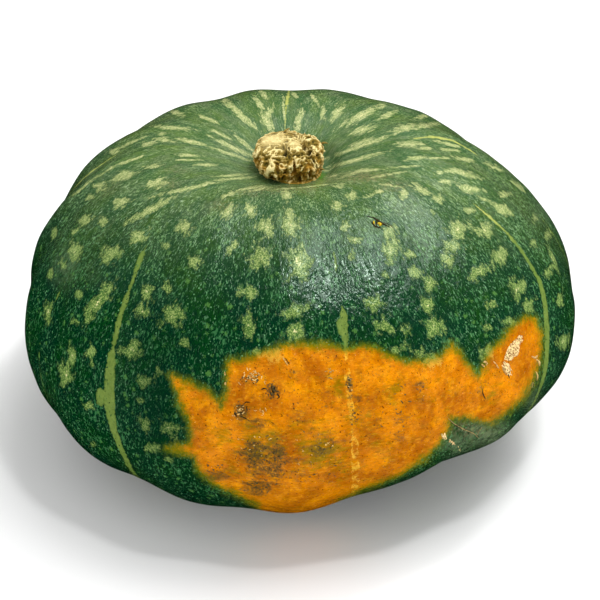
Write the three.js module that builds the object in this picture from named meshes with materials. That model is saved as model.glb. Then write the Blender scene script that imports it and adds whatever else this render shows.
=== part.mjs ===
// A kabocha squash: one ribbed, slightly lopsided fruit with a sunken top, and the corky
// stub of its cut stem standing in the hollow. Millimetres, +Z up, the ground at z = 0.
import * as THREE from 'three';

// Fruit, as waves over the angle from the stem axis: an ellipse of half width and half
// height, an egg shift that lifts the crown and flattens the belly, and a slight taper.
const HALF_WIDTH = 90;
const HALF_HEIGHT = 55.2;
const EGG_SHIFT = 5.2;
const TAPER = 0.8;
const FOOT_CUT = 0.8; // how much of the lowest ring is pressed flat on the ground

// The hollow round the stem, with a flat seat in it, and the shallow eye underneath.
const HOLLOW_DEPTH = 20.6;
const HOLLOW_WIDTH = 28;
const SEAT_RISE = 2;
const SEAT_SLOPE = 0.08; // how much the seat drops per millimetre to the right
const SEAT_RADIUS = 11.5;
const SEAT_BLEND_RADIUS = 17;
const EYE_DEPTH = 9;
const EYE_WIDTH = 24;
const EYE_BUTTON = { height: 1.6, width: 5 };

// Furrows between the lobes: bearing at the stem, and how far each drifts on its way down.
const FURROWS = [
  { bearing: -131, drift: 4 },
  { bearing: -105, drift: 2 },
  { bearing: -80, drift: 0 },
  { bearing: -53, drift: -4 },
  { bearing: -27, drift: -10 },
  { bearing: 2, drift: -4 },
  { bearing: 28, drift: 0 },
  { bearing: 57, drift: 0 },
  { bearing: 88, drift: 0 },
  { bearing: 114, drift: 0 },
  { bearing: 140, drift: 0 },
  { bearing: 165, drift: 0 },
  { bearing: 186, drift: 0 },
  { bearing: 206, drift: 2 },
];
const DRIFT_FROM = 50; // angle from the stem axis where the drift starts, and where it ends
const DRIFT_TO = 105;
const FURROW_DEPTH = 1.5;
const FURROW_TOP_FADE = { from: 12, to: 40 };
const FURROW_BASE_FADE = { from: 178, to: 140 };

// Broad bulges (+) and flats (-) that make the fruit lopsided: direction, spread and height.
const SWELLS = [
  { bearing: 100, polar: 52, spread: 36, height: 2.4 },
  { bearing: 135, polar: 60, spread: 22, height: 2.8 },
  { bearing: 55, polar: 58, spread: 22, height: 0.9 },
  { bearing: 160, polar: 72, spread: 16, height: -1.9 },
  { bearing: 180, polar: 92, spread: 18, height: -6 },
  { bearing: 205, polar: 100, spread: 18, height: -1.1 },
  { bearing: 15, polar: 88, spread: 18, height: 2.9 },
  { bearing: -60, polar: 122, spread: 18, height: -5.6 },
  { bearing: -92, polar: 122, spread: 18, height: 1.5 },
];
const LEAN = 2; // the stem's tilt towards -X, which fades out towards the level base
const LEAN_FADE = { from: 150, to: 115 };
const SPIN = 1.7; // turn of the whole fruit about Z

// Stem stub: a lumpy knob with a rounded top, cleft in two across it and torn open in front.
const STEM_GAP = 0.3;
const STEM_FORWARD = 0.6; // how far its middle is in front of the fruit's axis
const STEM_BASE_RADIUS = 10.6;
const STEM_NECK_RADIUS = 9.8;
const STEM_TOP_RADIUS = 10.6;
const STEM_HEIGHT = 10.2;
const STEM_EDGE = { back: 1.8, front: 4.2 }; // radius of the rounded top edge
const STEM_LUMP_FADE = { from: 0.1, to: 0.4 }; // share of the height; the base stays round
const STEM_FRONT_DROP = 2.4; // how much lower the top is in front than behind
const STEM_LUMPS = [
  { bearing: -125, spread: 26, height: 0.6 },
  { bearing: -80, spread: 12, height: -2 },
  { bearing: -45, spread: 20, height: 0.4 },
  { bearing: 8, spread: 22, height: 0.6 },
  { bearing: 60, spread: 10, height: -1.4 },
  { bearing: 105, spread: 26, height: 0.3 },
  { bearing: 165, spread: 24, height: 0.5 },
  { bearing: 205, spread: 12, height: -0.5 },
];
const CLEFT = { x: 4.6, y: 1, bearing: -70, width: 1.3, length: 7, depth: 3 };

// Facets.
const COLUMNS_PER_LOBE = 6;
const FRUIT_ROWS = 42;
const ROW_CROWDING = 1.2; // over 1 crowds the rows towards the stem
const STEM_COLUMNS = 44;
const STEM_ROWS = { under: 3, side: 6, edge: 6, top: 5 };

const radians = THREE.MathUtils.degToRad;

// 0 at `from`, 1 at `to`, with a soft start and end; `from` may be the larger.
function ramp(value, { from, to }) {
  const t = THREE.MathUtils.clamp((value - from) / (to - from), 0, 1);
  return t * t * (3 - 2 * t);
}

function bell(distance, width) {
  return Math.exp(-((distance / width) ** 2));
}

function turnDistance(a, b) {
  const d = Math.abs(a - b) % 360;
  return Math.min(d, 360 - d);
}

// Bearing in degrees of a lobe coordinate, which is whole on each furrow.
function lobeBearing(lobe, polar) {
  const drop = ramp(polar, { from: DRIFT_FROM, to: DRIFT_TO });
  const knot = (i) => {
    const furrow = FURROWS[i % FURROWS.length];
    const turns = Math.floor(i / FURROWS.length);
    return furrow.bearing + furrow.drift * drop + 360 * turns;
  };
  const first = Math.floor(lobe);
  return THREE.MathUtils.lerp(knot(first), knot(first + 1), lobe - first);
}

function direction(bearing, polar) {
  return new THREE.Vector3().setFromSphericalCoords(1, radians(polar), radians(bearing + 90));
}

// Swells and furrows, as a factor on the plain form.
function swelling(lobe, bearing, polar) {
  const furrow = Math.cos(Math.PI * lobe) ** 2;
  const fade = ramp(polar, FURROW_TOP_FADE) * ramp(polar, FURROW_BASE_FADE);
  let rise = -FURROW_DEPTH * furrow * fade;
  const here = direction(bearing, polar);
  for (const swell of SWELLS) {
    const away = here.angleTo(direction(swell.bearing, swell.polar));
    rise += swell.height * bell(THREE.MathUtils.radToDeg(away), swell.spread);
  }
  return 1 + rise / HALF_WIDTH;
}

// Tilts a point of the fruit's own frame to the way the fruit stands.
function stand(point, polar) {
  const lean = LEAN * ramp(polar, LEAN_FADE);
  point.applyAxisAngle(new THREE.Vector3(0, 1, 0), radians(-lean));
  return point.applyAxisAngle(new THREE.Vector3(0, 0, 1), radians(SPIN));
}

const seatHeight = HALF_HEIGHT + 2 * EGG_SHIFT + TAPER - HOLLOW_DEPTH + SEAT_RISE;

// A point of the skin, before the fruit is set on the ground.
function skinPoint(lobe, polar) {
  const bearing = lobeBearing(lobe, polar);
  const turn = radians(polar);
  const reach = HALF_WIDTH * Math.sin(turn);
  const swell = swelling(lobe, bearing, polar);
  const egg = EGG_SHIFT * (1 + Math.cos(2 * turn)) + TAPER * Math.cos(3 * turn);
  let height = (HALF_HEIGHT * Math.cos(turn) + egg) * swell;
  if (polar < 90) {
    const outside = ramp(reach, { from: SEAT_RADIUS, to: SEAT_BLEND_RADIUS });
    const seat = seatHeight - SEAT_SLOPE * reach * Math.cos(radians(bearing));
    height -= HOLLOW_DEPTH * bell(reach, HOLLOW_WIDTH);
    height = THREE.MathUtils.lerp(seat, height, outside);
  } else {
    height += EYE_DEPTH * bell(reach, EYE_WIDTH);
    height -= EYE_BUTTON.height * bell(reach, EYE_BUTTON.width);
  }
  const x = reach * swell * Math.cos(radians(bearing));
  const y = reach * swell * Math.sin(radians(bearing));
  return stand(new THREE.Vector3(x, y, height), polar);
}

// A closed body of rings from a first pole to a last one, wound so that its faces point
// out when the rings run from top to bottom or from inside to outside.
function ringBody(rings, firstPole, lastPole) {
  const columns = rings[0].length;
  const points = [firstPole, ...rings.flat(), lastPole];
  const last = points.length - 1;
  const index = [];
  for (let c = 0; c < columns; c += 1) {
    const next = (c + 1) % columns;
    index.push(0, 1 + c, 1 + next);
    for (let r = 0; r + 1 < rings.length; r += 1) {
      const upper = 1 + r * columns;
      const lower = upper + columns;
      index.push(upper + c, lower + c, lower + next);
      index.push(upper + c, lower + next, upper + next);
    }
    const end = 1 + (rings.length - 1) * columns;
    index.push(end + c, last, end + next);
  }
  const geometry = new THREE.BufferGeometry().setFromPoints(points);
  geometry.setIndex(index);
  geometry.computeVertexNormals();
  return geometry;
}

function fruitGeometry() {
  const columns = FURROWS.length * COLUMNS_PER_LOBE;
  const rings = [];
  for (let r = 1; r < FRUIT_ROWS; r += 1) {
    const polar = 180 * (r / FRUIT_ROWS) ** ROW_CROWDING;
    rings.push(Array.from({ length: columns }, (_, c) => skinPoint(c / COLUMNS_PER_LOBE, polar)));
  }
  return ringBody(rings, skinPoint(0, 0), skinPoint(0, 180));
}

// Height of the stub's torn top over its seat.
function stemTop(x, y) {
  const along = new THREE.Vector2(Math.cos(radians(CLEFT.bearing)), Math.sin(radians(CLEFT.bearing)));
  const offset = new THREE.Vector2(x - CLEFT.x, y - CLEFT.y);
  const cleft = bell(offset.cross(along), CLEFT.width) * bell(offset.dot(along), CLEFT.length);
  const slope = STEM_FRONT_DROP * (0.5 - y / (2 * STEM_TOP_RADIUS));
  return STEM_HEIGHT - slope - CLEFT.depth * cleft;
}

function stemLump(bearing) {
  let rise = 0;
  for (const lump of STEM_LUMPS) {
    rise += lump.height * bell(turnDistance(bearing, lump.bearing), lump.spread);
  }
  return rise;
}

// The stub's outline from under its middle to its top: radius of the side, share of the
// height, turn round the rounded edge, and share of the way in to the middle.
function stemOutline() {
  const outline = [];
  for (let r = 1; r <= STEM_ROWS.under; r += 1) {
    outline.push({ radius: STEM_BASE_RADIUS, height: 0, turn: 0, inward: 1 - r / STEM_ROWS.under });
  }
  for (let r = 1; r <= STEM_ROWS.side; r += 1) {
    const t = r / STEM_ROWS.side;
    const flare = THREE.MathUtils.lerp(STEM_BASE_RADIUS, STEM_TOP_RADIUS, t * t);
    const waist = (STEM_BASE_RADIUS - STEM_NECK_RADIUS) * Math.sin(Math.PI * t);
    outline.push({ radius: flare - waist, height: t, turn: 0, inward: 0 });
  }
  for (let r = 1; r <= STEM_ROWS.edge; r += 1) {
    const turn = (Math.PI / 2) * (r / STEM_ROWS.edge);
    outline.push({ radius: STEM_TOP_RADIUS, height: 1, turn, inward: 0 });
  }
  for (let r = 1; r < STEM_ROWS.top; r += 1) {
    const inward = r / STEM_ROWS.top;
    outline.push({ radius: STEM_TOP_RADIUS, height: 1, turn: Math.PI / 2, inward });
  }
  return outline;
}

function stemPoint(station, bearing) {
  const forward = (1 - Math.sin(radians(bearing))) / 2;
  const edge = THREE.MathUtils.lerp(STEM_EDGE.back, STEM_EDGE.front, forward);
  const round = (station.radius - edge * (1 - Math.cos(station.turn))) * (1 - station.inward);
  const share = round / STEM_TOP_RADIUS;
  const lump = stemLump(bearing) * share * share * ramp(station.height, STEM_LUMP_FADE);
  const x = (round + lump) * Math.cos(radians(bearing));
  const y = (round + lump) * Math.sin(radians(bearing));
  const rim = stemTop(x, y) - edge * (1 - Math.sin(station.turn));
  const height = THREE.MathUtils.lerp(-SEAT_SLOPE * x, rim, station.height);
  return stand(new THREE.Vector3(x, y - STEM_FORWARD, seatHeight + STEM_GAP + height), 0);
}

function stemGeometry() {
  const rings = stemOutline().map((station) => (
    Array.from({ length: STEM_COLUMNS }, (_, c) => stemPoint(station, (-360 * c) / STEM_COLUMNS))
  ));
  const underside = stemPoint({ radius: 0, height: 0, turn: 0, inward: 1 }, 0);
  const top = stemPoint({ radius: STEM_TOP_RADIUS, height: 1, turn: Math.PI / 2, inward: 1 }, 0);
  return ringBody(rings, underside, top);
}

// Sets both pieces on the ground: the lowest ring is pressed flat by FOOT_CUT, and the
// origin goes under the middle of the whole.
function setDown(geometries) {
  const box = new THREE.Box3();
  for (const geometry of geometries) {
    geometry.computeBoundingBox();
    box.union(geometry.boundingBox);
  }
  const middle = box.getCenter(new THREE.Vector3());
  for (const geometry of geometries) {
    geometry.translate(-middle.x, -middle.y, -box.min.z - FOOT_CUT);
    const position = geometry.getAttribute('position');
    for (let i = 0; i < position.count; i += 1) {
      position.setZ(i, Math.max(0, position.getZ(i)));
    }
    geometry.computeVertexNormals();
  }
}

const skin = new THREE.MeshStandardMaterial({ color: 0x274d2e, roughness: 0.42, metalness: 0 });
const cork = new THREE.MeshStandardMaterial({ color: 0xc9b27a, roughness: 0.9, metalness: 0 });

const fruit = new THREE.Mesh(fruitGeometry(), skin);
fruit.name = 'squash_fruit';
const stem = new THREE.Mesh(stemGeometry(), cork);
stem.name = 'stem_stub';
setDown([fruit.geometry, stem.geometry]);

const group = new THREE.Group();
group.add(fruit, stem);

export default group;
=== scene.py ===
"""A kabocha squash: the ribbed fruit with its marked skin, and the corky stub of its stem."""
import math

import bpy
import numpy as np
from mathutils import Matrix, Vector


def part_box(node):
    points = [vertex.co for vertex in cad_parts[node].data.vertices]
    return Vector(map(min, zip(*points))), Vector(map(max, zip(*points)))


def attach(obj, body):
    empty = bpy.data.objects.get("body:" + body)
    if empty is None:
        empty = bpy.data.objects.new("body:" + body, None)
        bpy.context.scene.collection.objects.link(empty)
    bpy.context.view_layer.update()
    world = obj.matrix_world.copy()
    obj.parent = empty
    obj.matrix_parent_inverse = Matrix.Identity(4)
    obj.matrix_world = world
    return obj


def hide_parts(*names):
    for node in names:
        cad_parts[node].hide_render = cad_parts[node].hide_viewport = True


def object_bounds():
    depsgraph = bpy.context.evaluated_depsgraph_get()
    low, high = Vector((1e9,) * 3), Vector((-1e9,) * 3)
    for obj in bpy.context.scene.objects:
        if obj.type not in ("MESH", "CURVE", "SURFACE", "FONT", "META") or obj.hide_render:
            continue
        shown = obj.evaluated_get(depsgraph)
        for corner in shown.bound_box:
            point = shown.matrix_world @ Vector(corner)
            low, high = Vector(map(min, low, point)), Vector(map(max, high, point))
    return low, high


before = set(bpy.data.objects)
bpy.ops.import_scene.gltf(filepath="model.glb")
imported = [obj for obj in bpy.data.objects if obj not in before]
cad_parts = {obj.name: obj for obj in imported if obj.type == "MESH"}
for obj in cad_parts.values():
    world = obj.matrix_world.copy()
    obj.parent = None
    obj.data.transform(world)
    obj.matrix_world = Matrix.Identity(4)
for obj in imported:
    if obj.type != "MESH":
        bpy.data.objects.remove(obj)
CAD_LOW, CAD_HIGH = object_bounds()

# ---------------------------------------------------------------- small helpers

MM = 0.001  # metres in a millimetre; the form below is worked out in millimetres


def ramp(value, start, end):
    """0 at start and 1 at end, with a soft start and finish; start may be the larger."""
    t = np.clip((value - start) / (end - start), 0, 1)
    return t * t * (3 - 2 * t)


def bell(distance, width):
    """1 in the middle, falling off as the square of distance over width is raised."""
    return np.exp(-((distance / width) ** 2))


def heading(turn):
    """Unit vector in the plane at this angle, in radians."""
    return np.array([math.cos(turn), math.sin(turn)])


LATTICE_SHIFT = 1000.5  # keeps every lattice cell's number above 0
PLACE_PRIMES = (73856093, 19349663, 83492791)  # usual primes for hashing a cell's place
SEED_PRIME, STIR_PRIME = 2654435761, 1274126177


def lattice(points, size, seed):
    """Value noise, -1 to 1: a random number on each corner of a lattice of this cell
    size, blended smoothly between the corners."""
    place = points / size + LATTICE_SHIFT
    cell = np.floor(place).astype(np.int64)
    part = place - cell
    part = part * part * (3 - 2 * part)
    total = 0
    for corner in np.ndindex(2, 2, 2):
        c = cell + np.array(corner)
        x, y, z = (c[..., axis] * prime for axis, prime in enumerate(PLACE_PRIMES))
        key = (x ^ y ^ z ^ (seed * SEED_PRIME)) & 0xFFFFFFFF
        key = ((key ^ (key >> 13)) * STIR_PRIME) & 0xFFFFFFFF
        value = ((key ^ (key >> 16)) & 0xFFFF) / 32767.5 - 1
        weight = np.prod(np.where(corner, part, 1 - part), axis=-1)
        total = total + value * weight
    return total


def colour(red, green, blue):
    """Linear colour from display values of 0 to 255."""
    shown = np.array([red, green, blue]) / 255
    linear = np.where(shown <= 0.04045, shown / 12.92, ((shown + 0.055) / 1.055) ** 2.4)
    return (*linear.tolist(), 1.0)


# ---------------------------------------------------------------- the fruit's form

# Millimetres, and degrees from the stem or round it, as in the solids.
HALF_WIDTH, HALF_HEIGHT = 90.0, 55.2
EGG_SHIFT, TAPER = 5.2, 0.8
FOOT_CUT = 0.8  # how much of the underside is pressed flat on the ground
HOLLOW_DEPTH, HOLLOW_WIDTH = 20.6, 28.0
SEAT_RISE, SEAT_RADIUS, SEAT_BLEND_RADIUS = 2.0, 11.5, 17.0
SEAT_SLOPE = 0.08
EYE_DEPTH, EYE_WIDTH = 9.0, 24.0
BUTTON_HEIGHT, BUTTON_WIDTH = 1.6, 5.0
LEAN, LEAN_FADE = 2.0, (150, 115)
SPIN = 1.7
DRIFT_FADE = (50, 105)
FURROW_DEPTH = 1.5
FURROW_TOP_FADE, FURROW_BASE_FADE = (12, 40), (178, 140)

# Each furrow: bearing at the stem, how far it drifts on its way down, and the pale line
# along it as (angle from the stem, width, sideways shift) with both sizes in mm; a width
# below 0 leaves a gap in the line.
NO_LINE = [(30, -1, 0), (180, -1, 0)]
FURROWS = [
    (-131, 4, [(40, -1, -4.5), (42, 0.5, -4.4), (44, 1.9, -4.2), (48, 1.3, -2.8), (51, 1.0, -2.1),
               (54, 1.9, -1.7), (60, 1.9, -0.9), (65, 1.4, -0.3), (67, 2.9, 0.0), (76, 4.2, 0.4),
               (79, 4.6, 0.4), (81, 4.2, 0.6), (84, 3.6, 1.0), (88, 3.0, 1.5), (96, 2.6, 2.6),
               (106, 2.3, 2.2), (120, 1.8, 0.8), (140, 1.2, 0), (165, 0.8, 0)]),
    (-105, 2, NO_LINE),
    (-80, 0, [(37, -1, 2), (39, 0.7, 2), (42, 0.9, 1.7), (44, -0.6, 1.4), (50, -0.4, 1.2),
              (52, 2.0, 1), (55, 2.6, 0.8), (57, 2.2, 0.5), (59, 0.9, 0.2), (66, 1.6, -0.4),
              (72, 1.8, -0.8), (80, 0.8, -0.8), (84, 1.8, -0.6), (95, 2.4, -0.4),
              (104, 2.0, -0.2), (110, 0.6, 0), (130, 1.6, 0), (165, 0.8, 0)]),
    (-53, -4, NO_LINE),
    (-27, -10, [(41, -1, 4), (43, 0.5, 4.3), (46, 0.9, 4.8), (50, 1.1, 5.2), (55, 1.3, 5.6),
                (60, 1.4, 5.7), (63, 2.0, 5.8), (67, 2.6, 5.6), (71, 3.4, 4.4), (75, 3.8, 3),
                (80, 3.4, 2.2), (100, 2.4, 1), (130, 1.6, 0), (165, 0.8, 0)]),
    (2, -4, [(24, -1, 1.2), (26, 0.8, 1.4), (30, 1.1, 4.4), (36, 1.4, 8), (41, 1.0, 7.8),
             (45, -0.5, 7), (62, -0.5, 2), (68, 1.4, 1), (84, 2.4, 0), (110, 2.2, 0),
             (150, 1.0, 0)]),
    (28, 0, [(44, -1, 0), (52, 0.6, 0), (90, 1.0, 0), (150, 0.4, 0), (160, -1, 0)]),
    (57, 0, NO_LINE),
    (88, 0, [(9, -1, 1), (13, 0.4, 1), (19, 0.6, 0.6), (23, 1.2, 0.3), (26, 0.7, 0), (60, 1.6, 0),
             (90, 2.8, 0), (120, 2.2, 0), (160, 0.8, 0)]),
    (114, 0, NO_LINE),
    (140, 0, [(40, -1, 0), (50, 0.8, 0), (90, 1.2, 0), (150, 0.5, 0), (160, -1, 0)]),
    (165, 0, [(34, -1, 0), (40, 1.2, 0), (50, 1.6, 0), (90, 2.6, 0), (120, 2.0, 0),
              (160, 0.8, 0)]),
    (186, 0, NO_LINE),
    (206, 2, [(56, -1, 0), (62, 0.5, 0), (70, -0.5, 0), (90, 0.6, 0), (110, 0.6, 0),
              (150, -1, 0)]),
]
LOBES = len(FURROWS)

# Bulges and flats: bearing, angle from the stem, spread and height.
SWELLS = [
    (100, 52, 36, 2.4),
    (135, 60, 22, 2.8),
    (55, 58, 22, 0.9),
    (160, 72, 16, -1.9),
    (180, 92, 18, -6.0),
    (205, 100, 18, -1.1),
    (15, 88, 18, 2.9),
    (-60, 122, 18, -5.6),
    (-92, 122, 18, 1.5),
]
SEAT_HEIGHT = HALF_HEIGHT + 2 * EGG_SHIFT + TAPER - HOLLOW_DEPTH + SEAT_RISE


def furrow_bearings(polar):
    """Bearing of every furrow at these angles from the stem, with the first one repeated
    a full turn on, as the first axis."""
    drop = ramp(polar, *DRIFT_FADE)
    turns = [bearing + drift * drop for bearing, drift, _ in FURROWS]
    return np.stack([*turns, turns[0] + 360])


def lobe_bearing(lobe, polar):
    """Bearing of a lobe coordinate, which is whole on each furrow: the furrows' bearings
    joined by straight stretches."""
    furrows = furrow_bearings(polar)
    steps = np.diff(furrows, axis=0)
    shares = np.clip(lobe - np.arange(LOBES).reshape(-1, *[1] * lobe.ndim), 0, 1)
    return furrows[0] + (steps * shares).sum(0)


def unit(bearing, polar):
    """Unit vector of a bearing and an angle from the stem, both in degrees."""
    b, p = np.radians(bearing), np.radians(polar)
    return np.stack([np.sin(p) * np.cos(b), np.sin(p) * np.sin(b), np.cos(p) + 0 * b], -1)


def swelling(lobe, bearing, polar):
    """1, less the furrows, plus a bell for each bulge or flat, over the half width."""
    fade = ramp(polar, *FURROW_TOP_FADE) * ramp(polar, *FURROW_BASE_FADE)
    rise = -FURROW_DEPTH * np.cos(np.pi * lobe) ** 2 * fade
    here = unit(bearing, polar)
    for swell_bearing, swell_polar, spread, height in SWELLS:
        cosine = here @ unit(np.float64(swell_bearing), np.float64(swell_polar))
        rise = rise + height * bell(np.degrees(np.arccos(np.clip(cosine, -1, 1))), spread)
    return 1 + rise / HALF_WIDTH


def stand(points, polar):
    """Turns points about Y by the lean, which fades out near the base, then about Z."""
    lean = np.radians(LEAN * ramp(polar, *LEAN_FADE))
    x = points[..., 0] * np.cos(lean) - points[..., 2] * np.sin(lean)
    z = points[..., 0] * np.sin(lean) + points[..., 2] * np.cos(lean)
    spin = math.radians(SPIN)
    turned_x = x * math.cos(spin) - points[..., 1] * math.sin(spin)
    turned_y = x * math.sin(spin) + points[..., 1] * math.cos(spin)
    return np.stack([turned_x, turned_y, z], -1)


def skin_form(lobe, polar):
    """An ellipse turned about the stem axis, with an egg shift and a taper as waves over
    the angle from the stem, times the swelling; less a bell for the hollow, which has a
    flat seat in it, and plus a bell for the eye underneath."""
    bearing = lobe_bearing(lobe, polar)
    turn = np.radians(polar)
    reach = HALF_WIDTH * np.sin(turn)
    swell = swelling(lobe, bearing, polar)
    egg = EGG_SHIFT * (1 + np.cos(2 * turn)) + TAPER * np.cos(3 * turn)
    height = (HALF_HEIGHT * np.cos(turn) + egg) * swell
    hollow = height - HOLLOW_DEPTH * bell(reach, HOLLOW_WIDTH)
    outside = ramp(reach, SEAT_RADIUS, SEAT_BLEND_RADIUS)
    seat = SEAT_HEIGHT - SEAT_SLOPE * reach * np.cos(np.radians(bearing))
    upper = seat + (hollow - seat) * outside
    eye = EYE_DEPTH * bell(reach, EYE_WIDTH) - BUTTON_HEIGHT * bell(reach, BUTTON_WIDTH)
    z = np.where(polar < 90, upper, height + eye)
    x = reach * swell * np.cos(np.radians(bearing))
    y = reach * swell * np.sin(np.radians(bearing))
    return stand(np.stack([x, y, z], -1), polar)


FRONT_LOBES, FRONT_COLUMNS, OTHER_COLUMNS = 5, 44, 26
SKIN_ROWS = 200


def skin_grid():
    """Lobe coordinate and angle from the stem on a grid, closer together in front."""
    columns = [FRONT_COLUMNS] * FRONT_LOBES + [OTHER_COLUMNS] * (LOBES - FRONT_LOBES)
    stops = [lobe + np.arange(count) / count for lobe, count in enumerate(columns)]
    polar = 180 * np.arange(1, SKIN_ROWS) / SKIN_ROWS
    return np.meshgrid(np.concatenate(stops), polar)


lobe, polar = skin_grid()
bearing = lobe_bearing(lobe, polar)
raw = skin_form(lobe, polar)

# Set down as the solid is: centred over the origin, pressed flat underneath.
RAW_LOW, RAW_HIGH = raw.reshape(-1, 3).min(0), raw.reshape(-1, 3).max(0)
SHIFT = np.array([*(-(RAW_LOW + RAW_HIGH) / 2)[:2], -RAW_LOW[2] - FOOT_CUT])
BOX_HIGH = np.array(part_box("squash_fruit")[1]) / MM
INSET = 0.02  # keeps the finer mesh inside the faceted solid's box
FIT = (BOX_HIGH - INSET) / (RAW_HIGH + SHIFT)


def set_down(points):
    """Moves raw points over the origin and flattens what is below the ground."""
    placed = (points + SHIFT) * FIT
    placed[..., 2] = np.maximum(placed[..., 2], 0)
    return placed


def normals_of(points):
    """Unit normals of a grid of points whose second direction closes on itself."""
    down = np.gradient(points, axis=0)
    along = np.roll(points, -1, 1) - np.roll(points, 1, 1)
    normal = np.cross(down, along)
    return normal / np.linalg.norm(normal, axis=-1, keepdims=True)


# Slow unevenness of the rind, by two sizes of noise in mm, none where it meets the ground
# or the stem.
smooth_skin = set_down(raw)
skin_normals = normals_of(smooth_skin)
unevenness = 0.30 * lattice(raw, 16.0, 3) + 0.16 * lattice(raw, 6.5, 4) - 0.4
unevenness *= ramp(polar, 9, 16) * ramp(smooth_skin[..., 2], 0.0, 4.0)
skin_points = smooth_skin + skin_normals * unevenness[..., None]
skin_points[..., 2] = np.maximum(skin_points[..., 2], 0)

# ---------------------------------------------------------------- the main view

VIEW_SIZE = 600
LENS, SENSOR = 100.8, 36.0
ELEVATION = 30.5
DISTANCE = 540.0
TARGET = np.array([2.0, 0.0, 0.9]) + SHIFT
BACK = np.array([0.0, -math.cos(math.radians(ELEVATION)), math.sin(math.radians(ELEVATION))])
UP = np.array([0.0, math.sin(math.radians(ELEVATION)), math.cos(math.radians(ELEVATION))])
EYE = TARGET + BACK * DISTANCE


def view_places(points):
    """Where points show in the main view, in 600ths of the frame from its top left."""
    offset = points - EYE
    scale = LENS / SENSOR * VIEW_SIZE / -(offset @ BACK)
    centre = VIEW_SIZE / 2
    return np.stack([centre + offset[..., 0] * scale, centre - (offset @ UP) * scale], -1)


to_eye = EYE - skin_points
to_eye /= np.linalg.norm(to_eye, axis=-1, keepdims=True)
facing = (to_eye * skin_normals).sum(-1)
seen = view_places(skin_points)

STREAK_REACH = 0.62  # a streak's half length as a share of the line it is drawn on


def capsule(places, start, end, width):
    """1 on a stroke's middle line, 0 at its edge, and less than 0 outside."""
    start, end = np.array(start, float), np.array(end, float)
    run = end - start
    share = np.clip(((places - start) @ run) / max(run @ run, 1e-9), 0, 1)
    nearest = start + share[..., None] * run
    return 1 - np.linalg.norm(places - nearest, axis=-1) / (width / 2)


def spindle(places, start, end, width):
    """1 in a streak's middle and 0 on its edge: an ellipse whose ends reach a little past
    both ends of a line."""
    start, end = np.array(start, float), np.array(end, float)
    run = end - start
    length = np.linalg.norm(run)
    offset = places - (start + end) / 2
    along = offset @ (run / length)
    across = offset @ (np.array([-run[1], run[0]]) / length)
    return 1 - np.hypot(along / (STREAK_REACH * length), across / (width / 2))


def polygon_depth(places, outline):
    """Distance to a closed outline, above 0 inside it: the least distance to its edges, each
    a stroke of width 2, signed by how many edges a level line from the place crosses."""
    outline = np.array(outline, float)
    best = np.full(places.shape[:-1], 1e9)
    inside = np.zeros(places.shape[:-1], bool)
    for a, b in zip(outline, np.roll(outline, -1, 0)):
        best = np.minimum(best, 1 - capsule(places, a, b, 2.0))
        crosses = (a[1] > places[..., 1]) != (b[1] > places[..., 1])
        cut = a[0] + (places[..., 1] - a[1]) * (b[0] - a[0]) / (b[1] - a[1] + 1e-9)
        inside ^= crosses & (places[..., 0] < cut)
    return np.where(inside, best, -best)


# ---------------------------------------------------------------- what the skin carries

MM_PER_STEP = 0.33  # millimetres in one 600th of the main view

# Edge of the orange ground patch, as it shows in the main view.
PATCH_EDGE = [
    (172, 378), (187, 382), (206, 391), (215, 400), (221, 407), (226, 394), (230, 361),
    (250, 358), (265, 353), (285, 347), (300, 344), (320, 344), (345, 350), (370, 348),
    (385, 353), (405, 362), (425, 363), (440, 357), (452, 345), (460, 358), (470, 370),
    (478, 378), (484, 368), (492, 350), (505, 337), (515, 325), (528, 318), (536, 320),
    (541, 335), (541, 350), (537, 370), (530, 385), (520, 400), (508, 412), (490, 423),
    (475, 418), (450, 418), (447, 430), (437, 445), (425, 458), (405, 470), (390, 478),
    (355, 492), (340, 500), (330, 530), (262, 530), (258, 505), (240, 495), (225, 488),
    (208, 478), (200, 470), (195, 456), (168, 449), (191, 443), (191, 430), (182, 405),
    (177, 391),
]

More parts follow.
